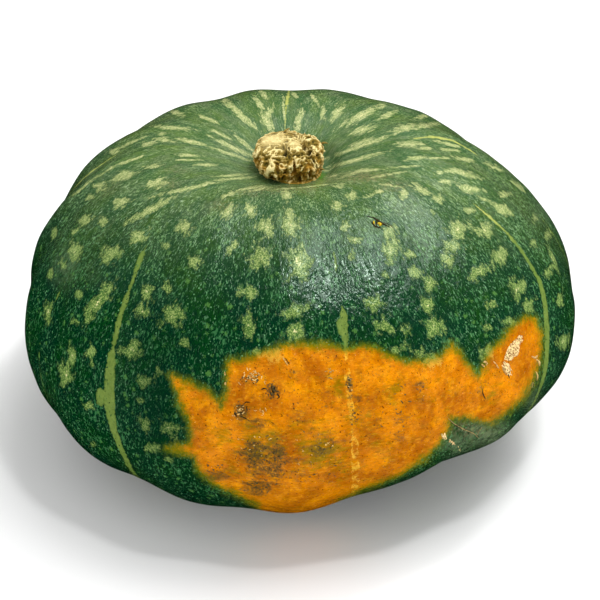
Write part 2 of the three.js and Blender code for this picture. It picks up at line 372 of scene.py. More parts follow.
# Pale blotches in the main view: place, width, height, and slant in degrees.
STARS = [
    (274, 356, 24, 13, 0), (432, 362, 20, 11, 0), (256, 352, 10, 6, 0), (122, 203, 16, 8, 20),
    (103, 222, 10, 10, 0), (85, 220, 14, 8, 30), (75, 232, 6, 6, 0), (54, 234, 5, 12, 0),
    (140, 236, 18, 12, 20), (185, 228, 14, 14, 0), (165, 246, 10, 7, 0), (75, 252, 12, 18, 0),
    (112, 254, 20, 14, 20), (195, 262, 12, 10, 0), (63, 265, 7, 9, 0), (50, 275, 6, 10, 0),
    (228, 212, 18, 9, 40), (250, 211, 12, 14, 0), (267, 228, 16, 18, 0), (233, 246, 18, 7, 50),
    (287, 195, 10, 10, 0), (290, 225, 14, 30, 0), (260, 258, 18, 22, 0), (298, 262, 20, 34, 0),
    (337, 206, 14, 10, 0), (352, 196, 12, 8, 0), (345, 225, 8, 12, 0), (355, 240, 12, 6, 0),
    (390, 232, 14, 14, 0), (391, 250, 16, 24, 0), (387, 274, 10, 8, 0), (352, 256, 8, 10, 0),
    (421, 190, 20, 8, -20), (404, 194, 10, 10, 0), (439, 199, 10, 8, 0), (433, 212, 6, 6, 0),
    (484, 230, 18, 14, 0), (458, 229, 20, 18, 0), (452, 247, 16, 14, 0), (447, 260, 12, 18, 0),
    (408, 254, 10, 10, 0), (500, 256, 14, 16, 0), (415, 272, 12, 12, 0), (430, 283, 12, 16, 0),
    (480, 272, 26, 12, 25), (548, 235, 8, 10, 0), (548, 272, 8, 10, 0), (517, 290, 14, 22, 0),
    (428, 305, 14, 14, 0), (490, 305, 10, 8, 0), (528, 305, 12, 14, 0), (560, 300, 6, 14, 0),
    (435, 327, 18, 20, 0), (407, 330, 10, 12, 0), (510, 322, 14, 10, 0), (488, 328, 8, 8, 0),
    (402, 347, 8, 8, 0), (420, 353, 16, 10, 0), (487, 352, 14, 12, 0), (563, 342, 12, 14, 0),
    (373, 303, 16, 14, 0), (383, 326, 16, 14, 0), (395, 350, 8, 8, 0), (293, 312, 26, 12, 25),
    (295, 331, 16, 20, 0), (248, 325, 12, 22, 0), (250, 292, 18, 12, 0), (147, 292, 12, 16, 0),
    (168, 287, 10, 14, 0), (79, 294, 10, 8, 0), (98, 302, 44, 12, 55), (48, 312, 8, 22, 0),
    (75, 321, 12, 6, 0), (142, 311, 12, 12, 0), (172, 315, 22, 20, 0), (131, 350, 20, 16, 0),
    (91, 353, 8, 18, 0), (72, 355, 8, 20, 0), (66, 374, 12, 22, 0), (158, 373, 10, 12, 0),
    (143, 382, 12, 12, 0), (184, 343, 10, 10, 0), (142, 400, 8, 6, 0), (88, 406, 12, 8, 0),
    (144, 425, 10, 14, 0), (170, 428, 18, 14, 0), (93, 444, 8, 6, 0), (152, 448, 14, 8, 0),
    (168, 460, 10, 5, 0), (124, 176, 24, 8, 15), (100, 187, 12, 8, 0), (90, 197, 8, 6, 0),
    (156, 183, 22, 8, 15), (113, 152, 6, 6, 0), (470, 210, 12, 6, 0), (502, 209, 24, 10, -25),
    (505, 194, 12, 6, 0), (535, 218, 6, 8, 0), (495, 168, 8, 6, 0), (470, 189, 26, 8, -10),
    (445, 181, 14, 4, 0), (340, 186, 10, 5, 0), (532, 243, 7, 8, 0),
]

# Pale streaks in the main view: both ends and the width.
STREAKS = [
    ((171, 111), (183, 115), 5), ((147, 124), (155, 122), 7), ((157, 126.5), (188, 129), 4),
    ((157, 139), (172, 141), 5), ((142, 145), (152, 143), 5), ((179, 139), (202, 144), 4),
    ((114, 150), (141, 138.5), 2.5), ((159, 134.6), (166, 133.4), 3), ((110, 153), (117, 151), 4),
    ((181, 155), (200, 156), 3), ((176, 160), (198, 160), 2), ((195, 165), (215, 165), 3),
    ((146, 167), (161, 165), 4), ((160, 195), (220, 181), 4), ((130, 221), (172, 198), 6),
    ((139, 157), (112, 167), 3), ((116, 165), (92, 180), 3), ((94, 178), (74, 194), 3),
    ((548, 247), (557, 270), 4), ((222, 98), (254, 127), 6), ((255, 98), (264, 110), 5),
    ((262, 114), (272, 130), 8), ((272, 108), (264, 122), 6), ((261, 92), (268, 98), 5),
    ((292, 92), (297, 98), 4), ((301, 110), (297, 131), 7), ((323, 108), (322, 118), 6),
    ((342, 105), (333, 118), 8), ((345, 124), (380, 106), 7), ((352, 133), (372, 127), 7),
    ((330, 157), (392, 135), 4), ((333, 166), (380, 153), 4), ((236, 136), (252, 150), 4),
    ((215, 139), (253, 157), 5), ((212, 148), (248, 160), 3), ((395, 130), (418, 126), 7),
    ((416, 127), (440, 123.5), 4.5), ((397, 144.4), (421, 144), 5), ((406, 159), (424, 157), 4),
    ((449, 169), (476, 177), 6), ((418, 148.4), (433, 147.4), 4), ((436, 141), (459, 146.6), 3),
    ((440, 149), (458, 150.6), 3), ((432, 158), (448, 158), 2.5), ((454, 157), (472, 161), 4),
    ((487, 164), (499, 170), 5), ((513, 181), (524, 191), 4), ((481, 198), (492, 202.4), 3),
    ((352, 172), (384, 169), 2.5), ((372, 177.4), (404, 172), 2.5),
    ((380, 184), (406, 187.6), 2.2), ((390, 167.6), (416, 166), 2.2), ((434, 174), (446, 172), 4),
    ((366, 196), (384, 190), 4), ((345, 176), (368, 168), 3), ((200, 116), (216, 122), 4),
    ((312, 96), (318, 104), 4), ((380, 118), (396, 112), 5), ((246, 120), (254, 128), 3),
    ((416, 118), (432, 114), 4), ((212, 130), (228, 138), 3), ((283, 98), (285, 128), 3),
    ((216, 176.5), (242, 174.6), 2.6), ((350, 146), (372, 138), 4),
    ((219, 179.6), (250, 177.4), 2.4), ((221, 197), (234, 192.5), 4),
    ((236, 190.5), (262, 185.8), 2.8), ((250, 191), (270, 187), 2),
    ((276, 189), (304, 187.4), 1.6), ((304, 187.2), (330, 184), 1.8),
    ((324, 171), (330, 170.4), 2), ((326, 176.6), (336, 175.6), 2),
]

# Dirty or rubbed places on the patch in the main view: place, width, height, strength.
SCUFFS = [
    (253, 455, 24, 34, 0.95), (275, 462, 24, 44, 0.85), (258, 487, 30, 20, 0.85),
    (273, 391, 12, 16, 0.9), (241, 411, 14, 14, 0.9), (251, 377, 16, 10, 0.5),
    (349, 382, 6, 14, 1.0), (378, 370, 6, 12, 0.4), (318, 447, 46, 34, 0.55),
    (310, 474, 34, 20, 0.5), (353, 402, 20, 30, 0.5), (372, 410, 24, 24, 0.4),
    (400, 418, 18, 20, 0.5), (398, 438, 16, 16, 0.4), (417, 384, 18, 6, 0.6),
    (418, 400, 14, 6, 0.6), (480, 388, 10, 18, 0.5), (345, 436, 16, 18, 0.5),
    (250, 428, 34, 18, 0.5), (215, 478, 30, 14, 0.7), (300, 415, 24, 14, 0.5),
    (290, 380, 40, 30, 0.3), (325, 400, 40, 24, 0.3), (390, 455, 30, 20, 0.3),
]

# Olive shading on the patch: place, width, height, strength.
OLIVES = [
    (322, 346, 46, 7, 1.0), (240, 361, 22, 6, 0.7), (398, 357, 30, 6, 0.7),
    (455, 351, 14, 7, 0.7), (176, 449, 16, 10, 1.0), (183, 384, 12, 12, 0.6),
    (197, 398, 14, 10, 0.4), (222, 384, 6, 16, 0.5), (336, 388, 24, 30, 0.45),
    (224, 436, 20, 22, 0.45), (318, 452, 44, 30, 0.8), (262, 446, 40, 34, 0.7),
    (250, 425, 22, 20, 0.5), (360, 424, 30, 34, 0.4), (392, 392, 26, 20, 0.45),
    (310, 425, 30, 16, 0.4), (382, 448, 26, 26, 0.35), (430, 398, 20, 12, 0.3),
    (205, 440, 20, 40, 0.25), (232, 470, 26, 16, 0.35), (492, 395, 22, 16, 0.35),
    (345, 470, 30, 24, 0.3),
]

# Warm brown tinge on the green skin: place, width, height, strength.
TINGES = [
    (332, 178, 34, 9, 0.7), (362, 177, 44, 9, 1.0), (392, 186, 30, 9, 0.6),
    (250, 192, 30, 8, 0.5), (222, 205, 18, 10, 0.5), (178, 170, 26, 8, 0.4),
    (172, 184, 16, 10, 0.5), (112, 190, 22, 10, 0.3), (470, 428, 40, 20, 0.5),
]

# Grey-green places on the skin, partly real dust and partly painted sheen of reflected light
# at the edges: place, width, height, strength.
DUST_AND_SHEEN_SPOTS = [
    (492, 436, 46, 20, 1.0), (458, 446, 26, 18, 0.8), (532, 402, 14, 26, 0.6),
    (66, 266, 22, 34, 0.45), (92, 272, 16, 22, 0.25), (540, 212, 18, 26, 0.45),
]

# Painted shade: darker green places low on the front left of the skin: place, width, height,
# strength.
PAINTED_SHADE_SPOTS = [(160, 395, 46, 110, 1.0), (192, 335, 34, 40, 0.5), (200, 480, 44, 26, 0.5)]

# Bright green places on the skin: place, width, height, strength.
FRESH = [(321, 177, 6, 9, 1.0), (318, 184, 6, 4, 0.6)]

# Corky scabs that stand up from the skin: both ends, the width, and the height in mm.
SCABS = [
    ((511, 355), (515, 347), 13, 0.75), ((516, 344), (520, 338), 9, 0.65),
    ((504, 364), (509, 371), 8, 0.6), ((444, 434), (446, 438), 5, 0.4),
    ((456, 446), (462, 452), 5, 0.35), ((450, 441), (455, 444), 3.5, 0.35),
]

DARK_CUT_AND_SHADOW, SOIL, TAN, CREAM, YELLOW = 0.0, 0.3, 0.6, 1.0, 2.0  # shades, as the crumbs' finish has them
# Crumbs, scratches and cuts on the skin, with dark strips beside some crumbs and grazes as
# their painted shadows: knots along them, the width, the height in mm, and the shade.
STRIPS = [
    (((366, 216), (374, 218), (380, 222), (391, 228)), 2.4, 0.12, DARK_CUT_AND_SHADOW),
    (((384, 222), (390, 225), (394, 229)), 1.2, 0.1, DARK_CUT_AND_SHADOW),
    (((371, 221), (375, 226.5), (383, 228.5)), 1.8, 0.12, DARK_CUT_AND_SHADOW),
    (((376, 219), (376.6, 226)), 1.6, 0.16, DARK_CUT_AND_SHADOW),
    (((378, 222.5), (381.5, 225.5)), 4.2, 0.3, YELLOW),
    (((373.6, 220.6), (374, 224.6)), 1.7, 0.3, YELLOW),
    (((283, 357.5), (288, 365.5)), 1.4, 0.2, CREAM),
    (((285, 357.5), (290, 365)), 0.68, 0.1, DARK_CUT_AND_SHADOW),
    (((493, 361), (496, 364), (499, 369)), 1.5, 0.25, CREAM),
    (((503, 366), (507, 372), (510, 379)), 1.2, 0.12, DARK_CUT_AND_SHADOW),
    (((502, 367), (505, 373), (507, 376)), 1.1, 0.2, TAN),
    (((483, 362.5), (485, 361.6), (486.6, 363.4), (485.6, 365.6)), 1.5, 0.35, CREAM),
    (((481.5, 364), (483, 365.6), (484.8, 366.8)), 1.5, 0.3, CREAM),
    (((482, 388), (483, 394), (486, 400)), 1, 0.1, DARK_CUT_AND_SHADOW),
    (((447, 417), (453, 423), (463, 429), (474, 433.5), (480, 439.5)), 0.9, 0.15, TAN),
    (((449, 420), (456, 426), (466, 430), (473, 434)), 0.8, 0.1, DARK_CUT_AND_SHADOW),
    (((477, 436), (479, 431), (482, 427)), 0.8, 0.15, TAN),
    (((531, 356), (535, 358), (538, 355)), 1.6, 0.3, CREAM),
    (((536, 359), (539, 362), (539.6, 366)), 2.2, 0.35, CREAM),
    (((535.6, 371), (537.4, 375), (537, 381)), 1.7, 0.3, CREAM),
    (((533, 382), (531.6, 388)), 1.8, 0.3, TAN), (((245, 373.6), (243, 379)), 1.3, 0.25, CREAM),
    (((252, 374), (254, 377), (257.4, 376)), 1.4, 0.3, CREAM),
    (((251, 379), (255, 380.4), (258, 378)), 1.3, 0.3, CREAM),
    (((258, 372.6), (260, 376)), 1.3, 0.25, CREAM),
    (((254.6, 371.6), (257, 373.4)), 1.7, 0.3, CREAM),
    (((262, 375.6), (261, 379.4)), 1.1, 0.2, CREAM),
    (((246.6, 367), (248, 371)), 1.1, 0.2, CREAM),
    (((252, 382), (254.4, 384.4)), 0.68, 0.15, DARK_CUT_AND_SHADOW),
    (((247.6, 376), (250, 379.4)), 1.02, 0.12, DARK_CUT_AND_SHADOW),
    (((255.6, 378), (259, 380.4)), 0.68, 0.1, DARK_CUT_AND_SHADOW), (((238, 382), (241, 385)), 1.0, 0.2, CREAM),
    (((264, 381), (265.4, 384.4)), 1.0, 0.2, CREAM),
    (((261, 389.6), (264, 388.4), (267, 389)), 1.09, 0.15, DARK_CUT_AND_SHADOW),
    (((271, 385), (272, 390), (274.4, 394)), 1.02, 0.15, DARK_CUT_AND_SHADOW),
    (((275.6, 386), (273.4, 391)), 0.88, 0.15, DARK_CUT_AND_SHADOW),
    (((277, 393), (279.4, 397), (276.4, 399.4)), 1.02, 0.15, DARK_CUT_AND_SHADOW),
    (((269.6, 391), (272, 396.4)), 0.82, 0.12, DARK_CUT_AND_SHADOW),
    (((238, 411.4), (241, 408), (243.4, 410)), 1.3, 0.3, CREAM),
    (((241.6, 414), (245, 411.4)), 1.2, 0.3, CREAM),
    (((234, 413), (237.4, 417)), 1.36, 0.2, DARK_CUT_AND_SHADOW),
    (((239.6, 412), (242.6, 412.6), (240, 415)), 1.09, 0.15, DARK_CUT_AND_SHADOW),
    (((246, 406), (247.4, 411)), 0.88, 0.15, DARK_CUT_AND_SHADOW),
    (((240, 416), (245, 418), (250, 421)), 0.75, 0.12, DARK_CUT_AND_SHADOW),
    (((243, 404.6), (246, 402), (250.6, 402.4)), 0.68, 0.12, DARK_CUT_AND_SHADOW),
    (((262, 410), (264, 412.6)), 1.2, 0.25, CREAM),
    (((265, 407.6), (266.4, 411.6)), 1.1, 0.25, CREAM),
    (((293, 403), (294, 405)), 0.95, 0.2, DARK_CUT_AND_SHADOW),
    (((293.4, 407.6), (294.4, 409.4)), 1.16, 0.2, DARK_CUT_AND_SHADOW),
    (((224.6, 371.6), (225.2, 375.6)), 1.2, 0.2, CREAM),
    (((225, 382), (225.6, 385.4)), 1.2, 0.2, CREAM),
]

# Clusters of crumbs and of cuts: the middle, the reach across and down, how many, the shade.
CLUSTERS = [
    (252, 376, 9, 6, 22, CREAM), (252, 377, 10, 7, 14, SOIL), (240, 411, 6, 7, 8, CREAM),
    (240, 411, 7, 8, 16, SOIL), (272, 391, 5, 8, 20, SOIL), (349, 384, 2.5, 8, 18, SOIL),
    (350, 384, 2.5, 7, 5, CREAM), (353, 410, 4, 16, 14, SOIL), (263, 382, 8, 5, 6, SOIL),
    (252, 454, 11, 13, 38, SOIL), (275, 462, 8, 18, 38, SOIL), (258, 487, 18, 7, 26, SOIL),
    (214, 470, 14, 9, 12, SOIL), (318, 447, 20, 14, 12, SOIL), (318, 447, 20, 12, 10, CREAM),
    (256, 440, 22, 12, 10, CREAM), (310, 474, 16, 8, 8, SOIL), (400, 412, 18, 14, 12, SOIL),
    (417, 390, 16, 8, 8, SOIL), (328, 372, 6, 5, 6, TAN), (262, 411, 7, 4, 6, CREAM),
]

# Leaf shaped swellings of the pale lines: both ends and the width.
LEAVES = [
    ((101, 392), (100.6, 402), 9), ((112, 355), (113, 362), 6), ((341, 322), (343, 332), 9),
]

# Marks placed in the main view fade in here: how squarely the skin faces the view, from 0 on
# its outline to 1.
RIM_FADE = (0.02, 0.12)
in_view = ramp(facing, *RIM_FADE)

NO_BLOTCH, NO_MARK = -2.0, -4.0  # far outside any blotch, and any line or stroke
BLOTCH_SEED, HIDDEN_SEED = 11, 5
BLOTCH_WAVE, HIDDEN_WAVE = 0.12, 0.25  # how much a blotch's reach waves round it


def star_field():
    """1 in a blotch's middle and 0 at its edge, an ellipse whose reach waves round it; and
    each point's spoke, the way it lies from the middle, as long as the blotch's radius."""
    rng = np.random.default_rng(BLOTCH_SEED)
    field = np.full(seen.shape[:-1], NO_BLOTCH)
    spoke = np.zeros((*field.shape, 3))
    for number, (x, y, width, height, slant) in enumerate(STARS):
        arms, phase = rng.integers(3, 6), rng.uniform(0, 6.28)
        near = (abs(seen[..., 0] - x) < width + height) & (abs(seen[..., 1] - y) < width + height)
        near &= facing > 0
        offset = seen[near] - (x, y)
        turn = math.radians(slant)
        across = (offset[:, 0] * math.cos(turn) - offset[:, 1] * math.sin(turn)) / (width / 2)
        upward = (offset[:, 0] * math.sin(turn) + offset[:, 1] * math.cos(turn)) / (height / 2)
        out = np.hypot(across, upward)
        reach = 1.0 + BLOTCH_WAVE * np.cos(arms * np.arctan2(upward, across) + phase)
        value = 1 - out / reach
        mine = value > field[near]
        rows, columns = (index[mine] for index in np.nonzero(near))
        field[rows, columns] = value[mine]
        radius = MM_PER_STEP * (width + height) / 4
        spoke[rows, columns, 0] = radius * (across / (out + 1e-6))[mine]
        spoke[rows, columns, 1] = radius * (upward / (out + 1e-6))[mine]
        spoke[rows, columns, 2] = number
    for start, end, width in STREAKS:
        streak = np.where(facing > 0, spindle(seen, start, end, width), NO_BLOTCH)
        field = np.maximum(field, streak)
    return field, spoke


# Arc length down the rind, for patterns that follow the way it grew.
whole_degrees = np.arange(0, 181)
turn_steps = np.radians(whole_degrees)
profile_x = HALF_WIDTH * np.sin(turn_steps)
profile_z = HALF_HEIGHT * np.cos(turn_steps)
lengths = np.concatenate([[0], np.cumsum(np.hypot(np.diff(profile_x), np.diff(profile_z)))])
arc = np.interp(polar, whole_degrees, lengths)
angle = np.radians(bearing)
growth = np.stack([HALF_WIDTH * np.cos(angle), HALF_WIDTH * np.sin(angle), arc], -1)

HIDDEN_COUNT = 620
HIDDEN_RADII = (1.0, 3.4)
HIDDEN_REACH = (0.012, 0.97)  # share of the fruit's height, from the top, that they lie in
LONG_FADE = (62, 22)  # degrees from the stem between which they turn long and narrow


def hidden_stars():
    """Blotches and spokes where the main view doesn't reach, by a seeded draw: long and
    narrow near the stem, star shaped further out."""
    rng = np.random.default_rng(HIDDEN_SEED)
    field = np.full(polar.shape, NO_BLOTCH)
    spoke = np.zeros((*polar.shape, 3))
    girth = np.radians(1.0) * HALF_WIDTH * np.sin(np.radians(polar))
    polars = np.degrees(np.arccos(1 - 2 * rng.uniform(*HIDDEN_REACH, HIDDEN_COUNT)))
    bearings = rng.uniform(-180, 180, HIDDEN_COUNT)
    for number, (centre_polar, centre_bearing) in enumerate(zip(polars, bearings)):
        upper = float(ramp(np.float64(centre_polar), *LONG_FADE))
        size = rng.uniform(*HIDDEN_RADII) * (1 - 0.35 * upper)
        length = size * (1 + 2.2 * upper + rng.uniform(-0.2, 0.5))
        arms, phase = rng.integers(3, 6), rng.uniform(0, 6.28)
        centre_arc = np.interp(centre_polar, whole_degrees, lengths)
        rows = np.nonzero(np.abs(arc[:, 0] - centre_arc) < 2 * length)[0]
        gap = (bearing[rows] - centre_bearing + 180) % 360 - 180
        across = gap * girth[rows] / size
        down = (arc[rows] - centre_arc) / length
        out = np.hypot(across, down)
        reach = 1.0 + HIDDEN_WAVE * np.cos(arms * np.arctan2(down, across) + phase)
        value = 1 - out / reach
        mine = value > field[rows]
        field[rows] = np.where(mine, value, field[rows])
        radius = size * (1 - upper) / (out + 1e-6)
        way = np.stack([across * radius, down * radius, np.full(out.shape, number)], -1)
        spoke[rows] = np.where(mine[..., None], way, spoke[rows])
    return field, spoke


stars, star_spokes = star_field()
stars = np.where(facing > 0, stars - 2 * (1 - in_view), NO_BLOTCH)
others, other_spokes = hidden_stars()
others = others - 2.5 * ramp(facing, -0.02, 0.06)
blotch = np.maximum(stars, others)
spoke = np.where((stars > others)[..., None], star_spokes, other_spokes)

LINE_REACH = 0.42  # how far from its furrow a line may stray, in lobes
furrows = furrow_bearings(polar[:, 0])
lobe_width = np.diff(furrows, axis=0)
lobe_index = np.floor(lobe).astype(int)
girth = np.radians(lobe_width[lobe_index, np.arange(polar.shape[0])[:, None]])
girth = girth * HALF_WIDTH * np.sin(np.radians(polar))
nearest = np.rint(lobe).astype(int)


def along_furrows(part):
    """Width (part 1) or sideways shift (part 2) of the nearest furrow's pale line at every
    grid point, by straight stretches between its knots."""
    stops = [list(zip(*knots)) for _, _, knots in FURROWS]
    values = np.stack([np.interp(polar[:, 0], stop[0], stop[part]) for stop in stops])
    return values[nearest % LOBES, np.arange(polar.shape[0])[:, None]]


line = np.where(abs(lobe - nearest) < LINE_REACH, along_furrows(1), NO_MARK)
furrow_offset = (lobe - nearest) * girth - along_furrows(2)

# Millimetres inside the edge of the ground patch, held to PATCH_DEPTH both ways. It ends on
# its way under the fruit, and is kept off the back, and off the sides where they are hidden.
PATCH_DEPTH, PATCH_BEARING = 12, -88
UNDER_FADE, BACK_FADE, SIDE_FADE, HIDDEN_FADE = (128, 160), (0.05, 0.5), (30, 60), (0.02, -0.04)
patch = polygon_depth(seen, PATCH_EDGE) * MM_PER_STEP
kept_off = 60 * ramp(polar, *UNDER_FADE) + 60 * ramp(skin_normals[..., 1], *BACK_FADE)
sides = ramp(abs(bearing - PATCH_BEARING), *SIDE_FADE) * ramp(facing, *HIDDEN_FADE)
patch = np.where(facing > 0, patch, np.maximum(patch, -3.0)) - kept_off - 40 * sides
patch = np.clip(patch, -PATCH_DEPTH, PATCH_DEPTH)


def seen_spots(spots):
    """The strongest of some soft oval spots placed in the main view."""
    field = np.zeros(polar.shape)
    for x, y, width, height, strength in spots:
        out = np.hypot((seen[..., 0] - x) / width, (seen[..., 1] - y) / height)
        field = np.maximum(field, strength * bell(out, 0.6) * in_view)
    return field


def seen_strokes(strokes):
    """1 on the middle line of strokes placed in the main view, 0 at their edge."""
    field = np.full(polar.shape, NO_MARK)
    for start, end, width in strokes:
        field = np.maximum(field, capsule(seen, start, end, width))
    return np.where(facing > RIM_FADE[0], field, NO_MARK)


scuff, olive, tinge = seen_spots(SCUFFS), seen_spots(OLIVES), seen_spots(TINGES)
leaf, fresh, dust_and_sheen = seen_strokes(LEAVES), seen_spots(FRESH), seen_spots(DUST_AND_SHEEN_SPOTS)
# deep: darker green places, painted shade.
deep = seen_spots(PAINTED_SHADE_SPOTS)

# 0 on the crown and 1 on the flanks; the crown's lighter, greyer green is partly the rind's
# own and partly painted sheen of the overhead light. It starts to rise about 30 degrees from
# the stem, sooner in front and later at the sides, over about 60 degrees; two broad bands stay
# a little paler, as painted light.
forward = 0.5 + 0.5 * np.cos(np.radians(bearing + 90))
rightward = np.clip(np.cos(np.radians(bearing)), 0, 1) * 2 * (1 - forward)
leftward = np.clip(-np.cos(np.radians(bearing)), 0, 1) * 2 * (1 - forward)
tone_start = 30 - 20 * forward + 8 * rightward + 4 * leftward
tone_span = 60 - 10 * forward + 20 * rightward
tone_and_sheen = 1 - (1 - ramp((polar - tone_start) / tone_span, 0, 1)) ** 1.6
tone_and_sheen = tone_and_sheen * (1 - 0.05 * bell(bearing + 42, 36) - 0.12 * bell(bearing + 155, 25))
# Painted shade: the rind, the patch and the pale lines darken under the widest part.
underside_shade = ramp(polar, 88, 128)  # 1 well under the widest part

# ---------------------------------------------------------------- meshes


def ring_mesh(name, rings, first_pole, last_pole, across=None, down=None):
    """A closed mesh of rings between two poles, with a bake map that runs along the rings
    in its first direction and from pole to pole in its second."""
    rows, columns = rings.shape[:2]
    points = np.concatenate([[first_pole], rings.reshape(-1, 3), [last_pole]])
    here = 1 + np.arange(rows * columns).reshape(rows, columns)
    after = np.roll(here, -1, 1)
    u = np.linspace(0, 1, columns + 1) if across is None else across
    v = np.linspace(0, 1, rows + 2) if down is None else down
    quads = np.stack([here[:-1], here[1:], after[1:], after[:-1]], -1).reshape(-1, 4)
    u_low, u_high = (np.broadcast_to(edge, (rows - 1, columns)) for edge in (u[:-1], u[1:]))
    v_low = np.broadcast_to(v[1:-2, None], (rows - 1, columns))
    v_high = np.broadcast_to(v[2:-1, None], (rows - 1, columns))
    quad_map = np.stack([u_low, v_low, u_low, v_high, u_high, v_high, u_high, v_low], -1)
    top = np.stack([np.zeros(columns, int), here[0], after[0]], -1)
    base = np.stack([here[-1], np.full(columns, len(points) - 1), after[-1]], -1)
    middle = (u[:-1] + u[1:]) / 2
    flat = np.ones(columns)
    top_map = np.stack([middle, flat * v[0], u[:-1], flat * v[1], u[1:], flat * v[1]], -1)
    base_map = np.stack([u[:-1], flat * v[-2], middle, flat * v[-1], u[1:], flat * v[-2]], -1)
    corners = np.concatenate([quads.ravel(), top.ravel(), base.ravel()])
    counts = np.concatenate([np.full(len(quads), 4), np.full(2 * columns, 3)])
    bake = np.concatenate([quad_map.ravel(), top_map.ravel(), base_map.ravel()])

    mesh = bpy.data.meshes.new(name)
    mesh.vertices.add(len(points))
    mesh.vertices.foreach_set("co", (points * MM).astype(np.float32).ravel())
    mesh.loops.add(len(corners))
    mesh.loops.foreach_set("vertex_index", corners.astype(np.int32))
    mesh.polygons.add(len(counts))
    starts = np.concatenate([[0], np.cumsum(counts)[:-1]])
    mesh.polygons.foreach_set("loop_start", starts.astype(np.int32))
    mesh.update(calc_edges=True)
    layer = mesh.uv_layers.new(name="OFBake")
    layer.data.foreach_set("uv", bake.astype(np.float32))
    mesh.polygons.foreach_set("use_smooth", np.ones(len(counts), bool))
    mesh.validate()
    piece = bpy.data.objects.new(name, mesh)
    bpy.context.scene.collection.objects.link(piece)
    return piece


def add_field(piece, name, values):
    """Stores a number or a vector for every point of a ring mesh; a pole takes the mean
    of the ring beside it."""
    rings = values.reshape(*values.shape[:2], -1)
    points = rings.reshape(-1, rings.shape[-1])
    full = np.concatenate([rings[:1].mean(1), points, rings[-1:].mean(1)])
    vector = values.ndim == 3
    field = piece.data.attributes.new(name, "FLOAT_VECTOR" if vector else "FLOAT", "POINT")
    field.data.foreach_set("vector" if vector else "value", full.astype(np.float32).ravel())


def pole_point(at_polar):
    """The point of the set-down form at one end of the stem axis."""
    return set_down(skin_form(np.zeros((1, 1)), np.full((1, 1), float(at_polar))))[0, 0]


skin_across = np.concatenate([lobe[0] / LOBES, [1.0]])
skin = ring_mesh("squash_skin", skin_points, pole_point(0), pole_point(180), skin_across)
for name, values in [
    ("growth", growth), ("blotch", blotch), ("spoke", spoke), ("furrow", furrow_offset),
    ("line", line), ("patch", patch), ("scuff", scuff), ("olive", olive), ("tinge", tinge),
    ("fresh", fresh), ("dust_and_sheen", dust_and_sheen), ("deep", deep), ("leaf", leaf), ("tone_and_sheen", tone_and_sheen),
    ("underside_shade", underside_shade),
]:
    add_field(skin, name, values)

# ---------------------------------------------------------------- stem stub

# Millimetres in the stub's own frame: its seat at z = 0, its axis the stem axis.
STEM_SINK, STEM_FORWARD = 0.4, 0.9
STEM_BASE_RADIUS, STEM_NECK_RADIUS, STEM_TOP_RADIUS = 10.3, 9.9, 10.6
STEM_HEIGHT, STEM_FRONT_DROP = 10.0, 2.4
STEM_EDGE_BACK, STEM_EDGE_FRONT = 2.4, 4.2  # radius of the rounded upper edge

# Swellings (+) and dents (-) of the side: bearing, spread in degrees, and height.
STEM_LUMPS = [
    (-125, 26, 0.6), (-80, 12, -2.0), (-45, 20, 0.4), (8, 22, 0.6), (60, 10, -1.4),
    (105, 26, -0.6), (165, 24, -0.2), (205, 12, -0.8),
]
UNDERCUT, UNDERCUT_BEARING, UNDERCUT_SPREAD = 0.42, -158, 50  # how far in the foot is eaten
CLEFT_PLACE, CLEFT_BEARING = np.array([4.6, 1.0]), -70
CLEFT_WIDTH, CLEFT_LENGTH, CLEFT_DEPTH = 1.0, 7.0, 2.2

# Knobs (+) and pits (-) of the torn stub in the main view: place, width, height and mm.
STEM_MARKS = [
    (273, 142, 30, 20, 0.5), (294, 145, 18, 13, 1.2), (273, 169, 18, 9, 0.6),
    (312, 141, 12, 8, 0.5), (291, 163, 3.6, 18, 0.8), (297, 164, 3.2, 18, 0.7),
    (304, 161, 3, 12, 0.5), (314, 172, 8, 12, 0.5), (281, 161, 9, 6, -1.3),
    (285, 151, 3.4, 9, -1.4), (297, 154.5, 18, 3.4, -1.7), (294, 165, 2.2, 14, -1.0),
    (301, 166, 3, 10, -0.9), (309, 160, 4, 12, -1.1), (317, 158, 3, 14, -0.9),
    (266, 159, 6, 4, -0.7), (311, 150, 4, 7, -0.8), (287, 173, 9, 4, -1.0),
    (258, 160, 3, 7, -0.6), (304, 146, 4, 8, -0.5),
]

STEM_COLUMNS, STEM_ROWS = 380, 225
STEM_CREST, STEM_PIT = 0.75, -2.4  # how far the relief may stand out or sink in
FIBRE_RADIUS, FIBRE_WIDTH, FIBRE_LENGTH = 11, 0.7, 3.0
# Smooth domes on the stub's top: middle, size and strength.
STEM_DOMES = [((-4.4, 3.4), (1.0, 1.1), 4.6, 1.0), ((1.8, 0.4), (1.0, 1.0), 2.8, 0.65)]


def stem_outline(t):
    """Radius of the side, share of the height, turn round the edge, and share of the way
    in to the middle, for t from 0 under the middle to 1 on top of it."""
    under, side, edge = 0.08, 0.50, 0.72
    share = np.clip((t - under) / (side - under), 0, 1)
    turn = np.pi / 2 * np.clip((t - side) / (edge - side), 0, 1)
    inward = np.clip(1 - t / under, 0, 1) + np.clip((t - edge) / (1 - edge), 0, 1)
    flare = STEM_BASE_RADIUS + (STEM_TOP_RADIUS - STEM_BASE_RADIUS) * share**2
    waist = (STEM_BASE_RADIUS - STEM_NECK_RADIUS) * np.sin(np.pi * share)
    return flare - waist, share, turn, inward


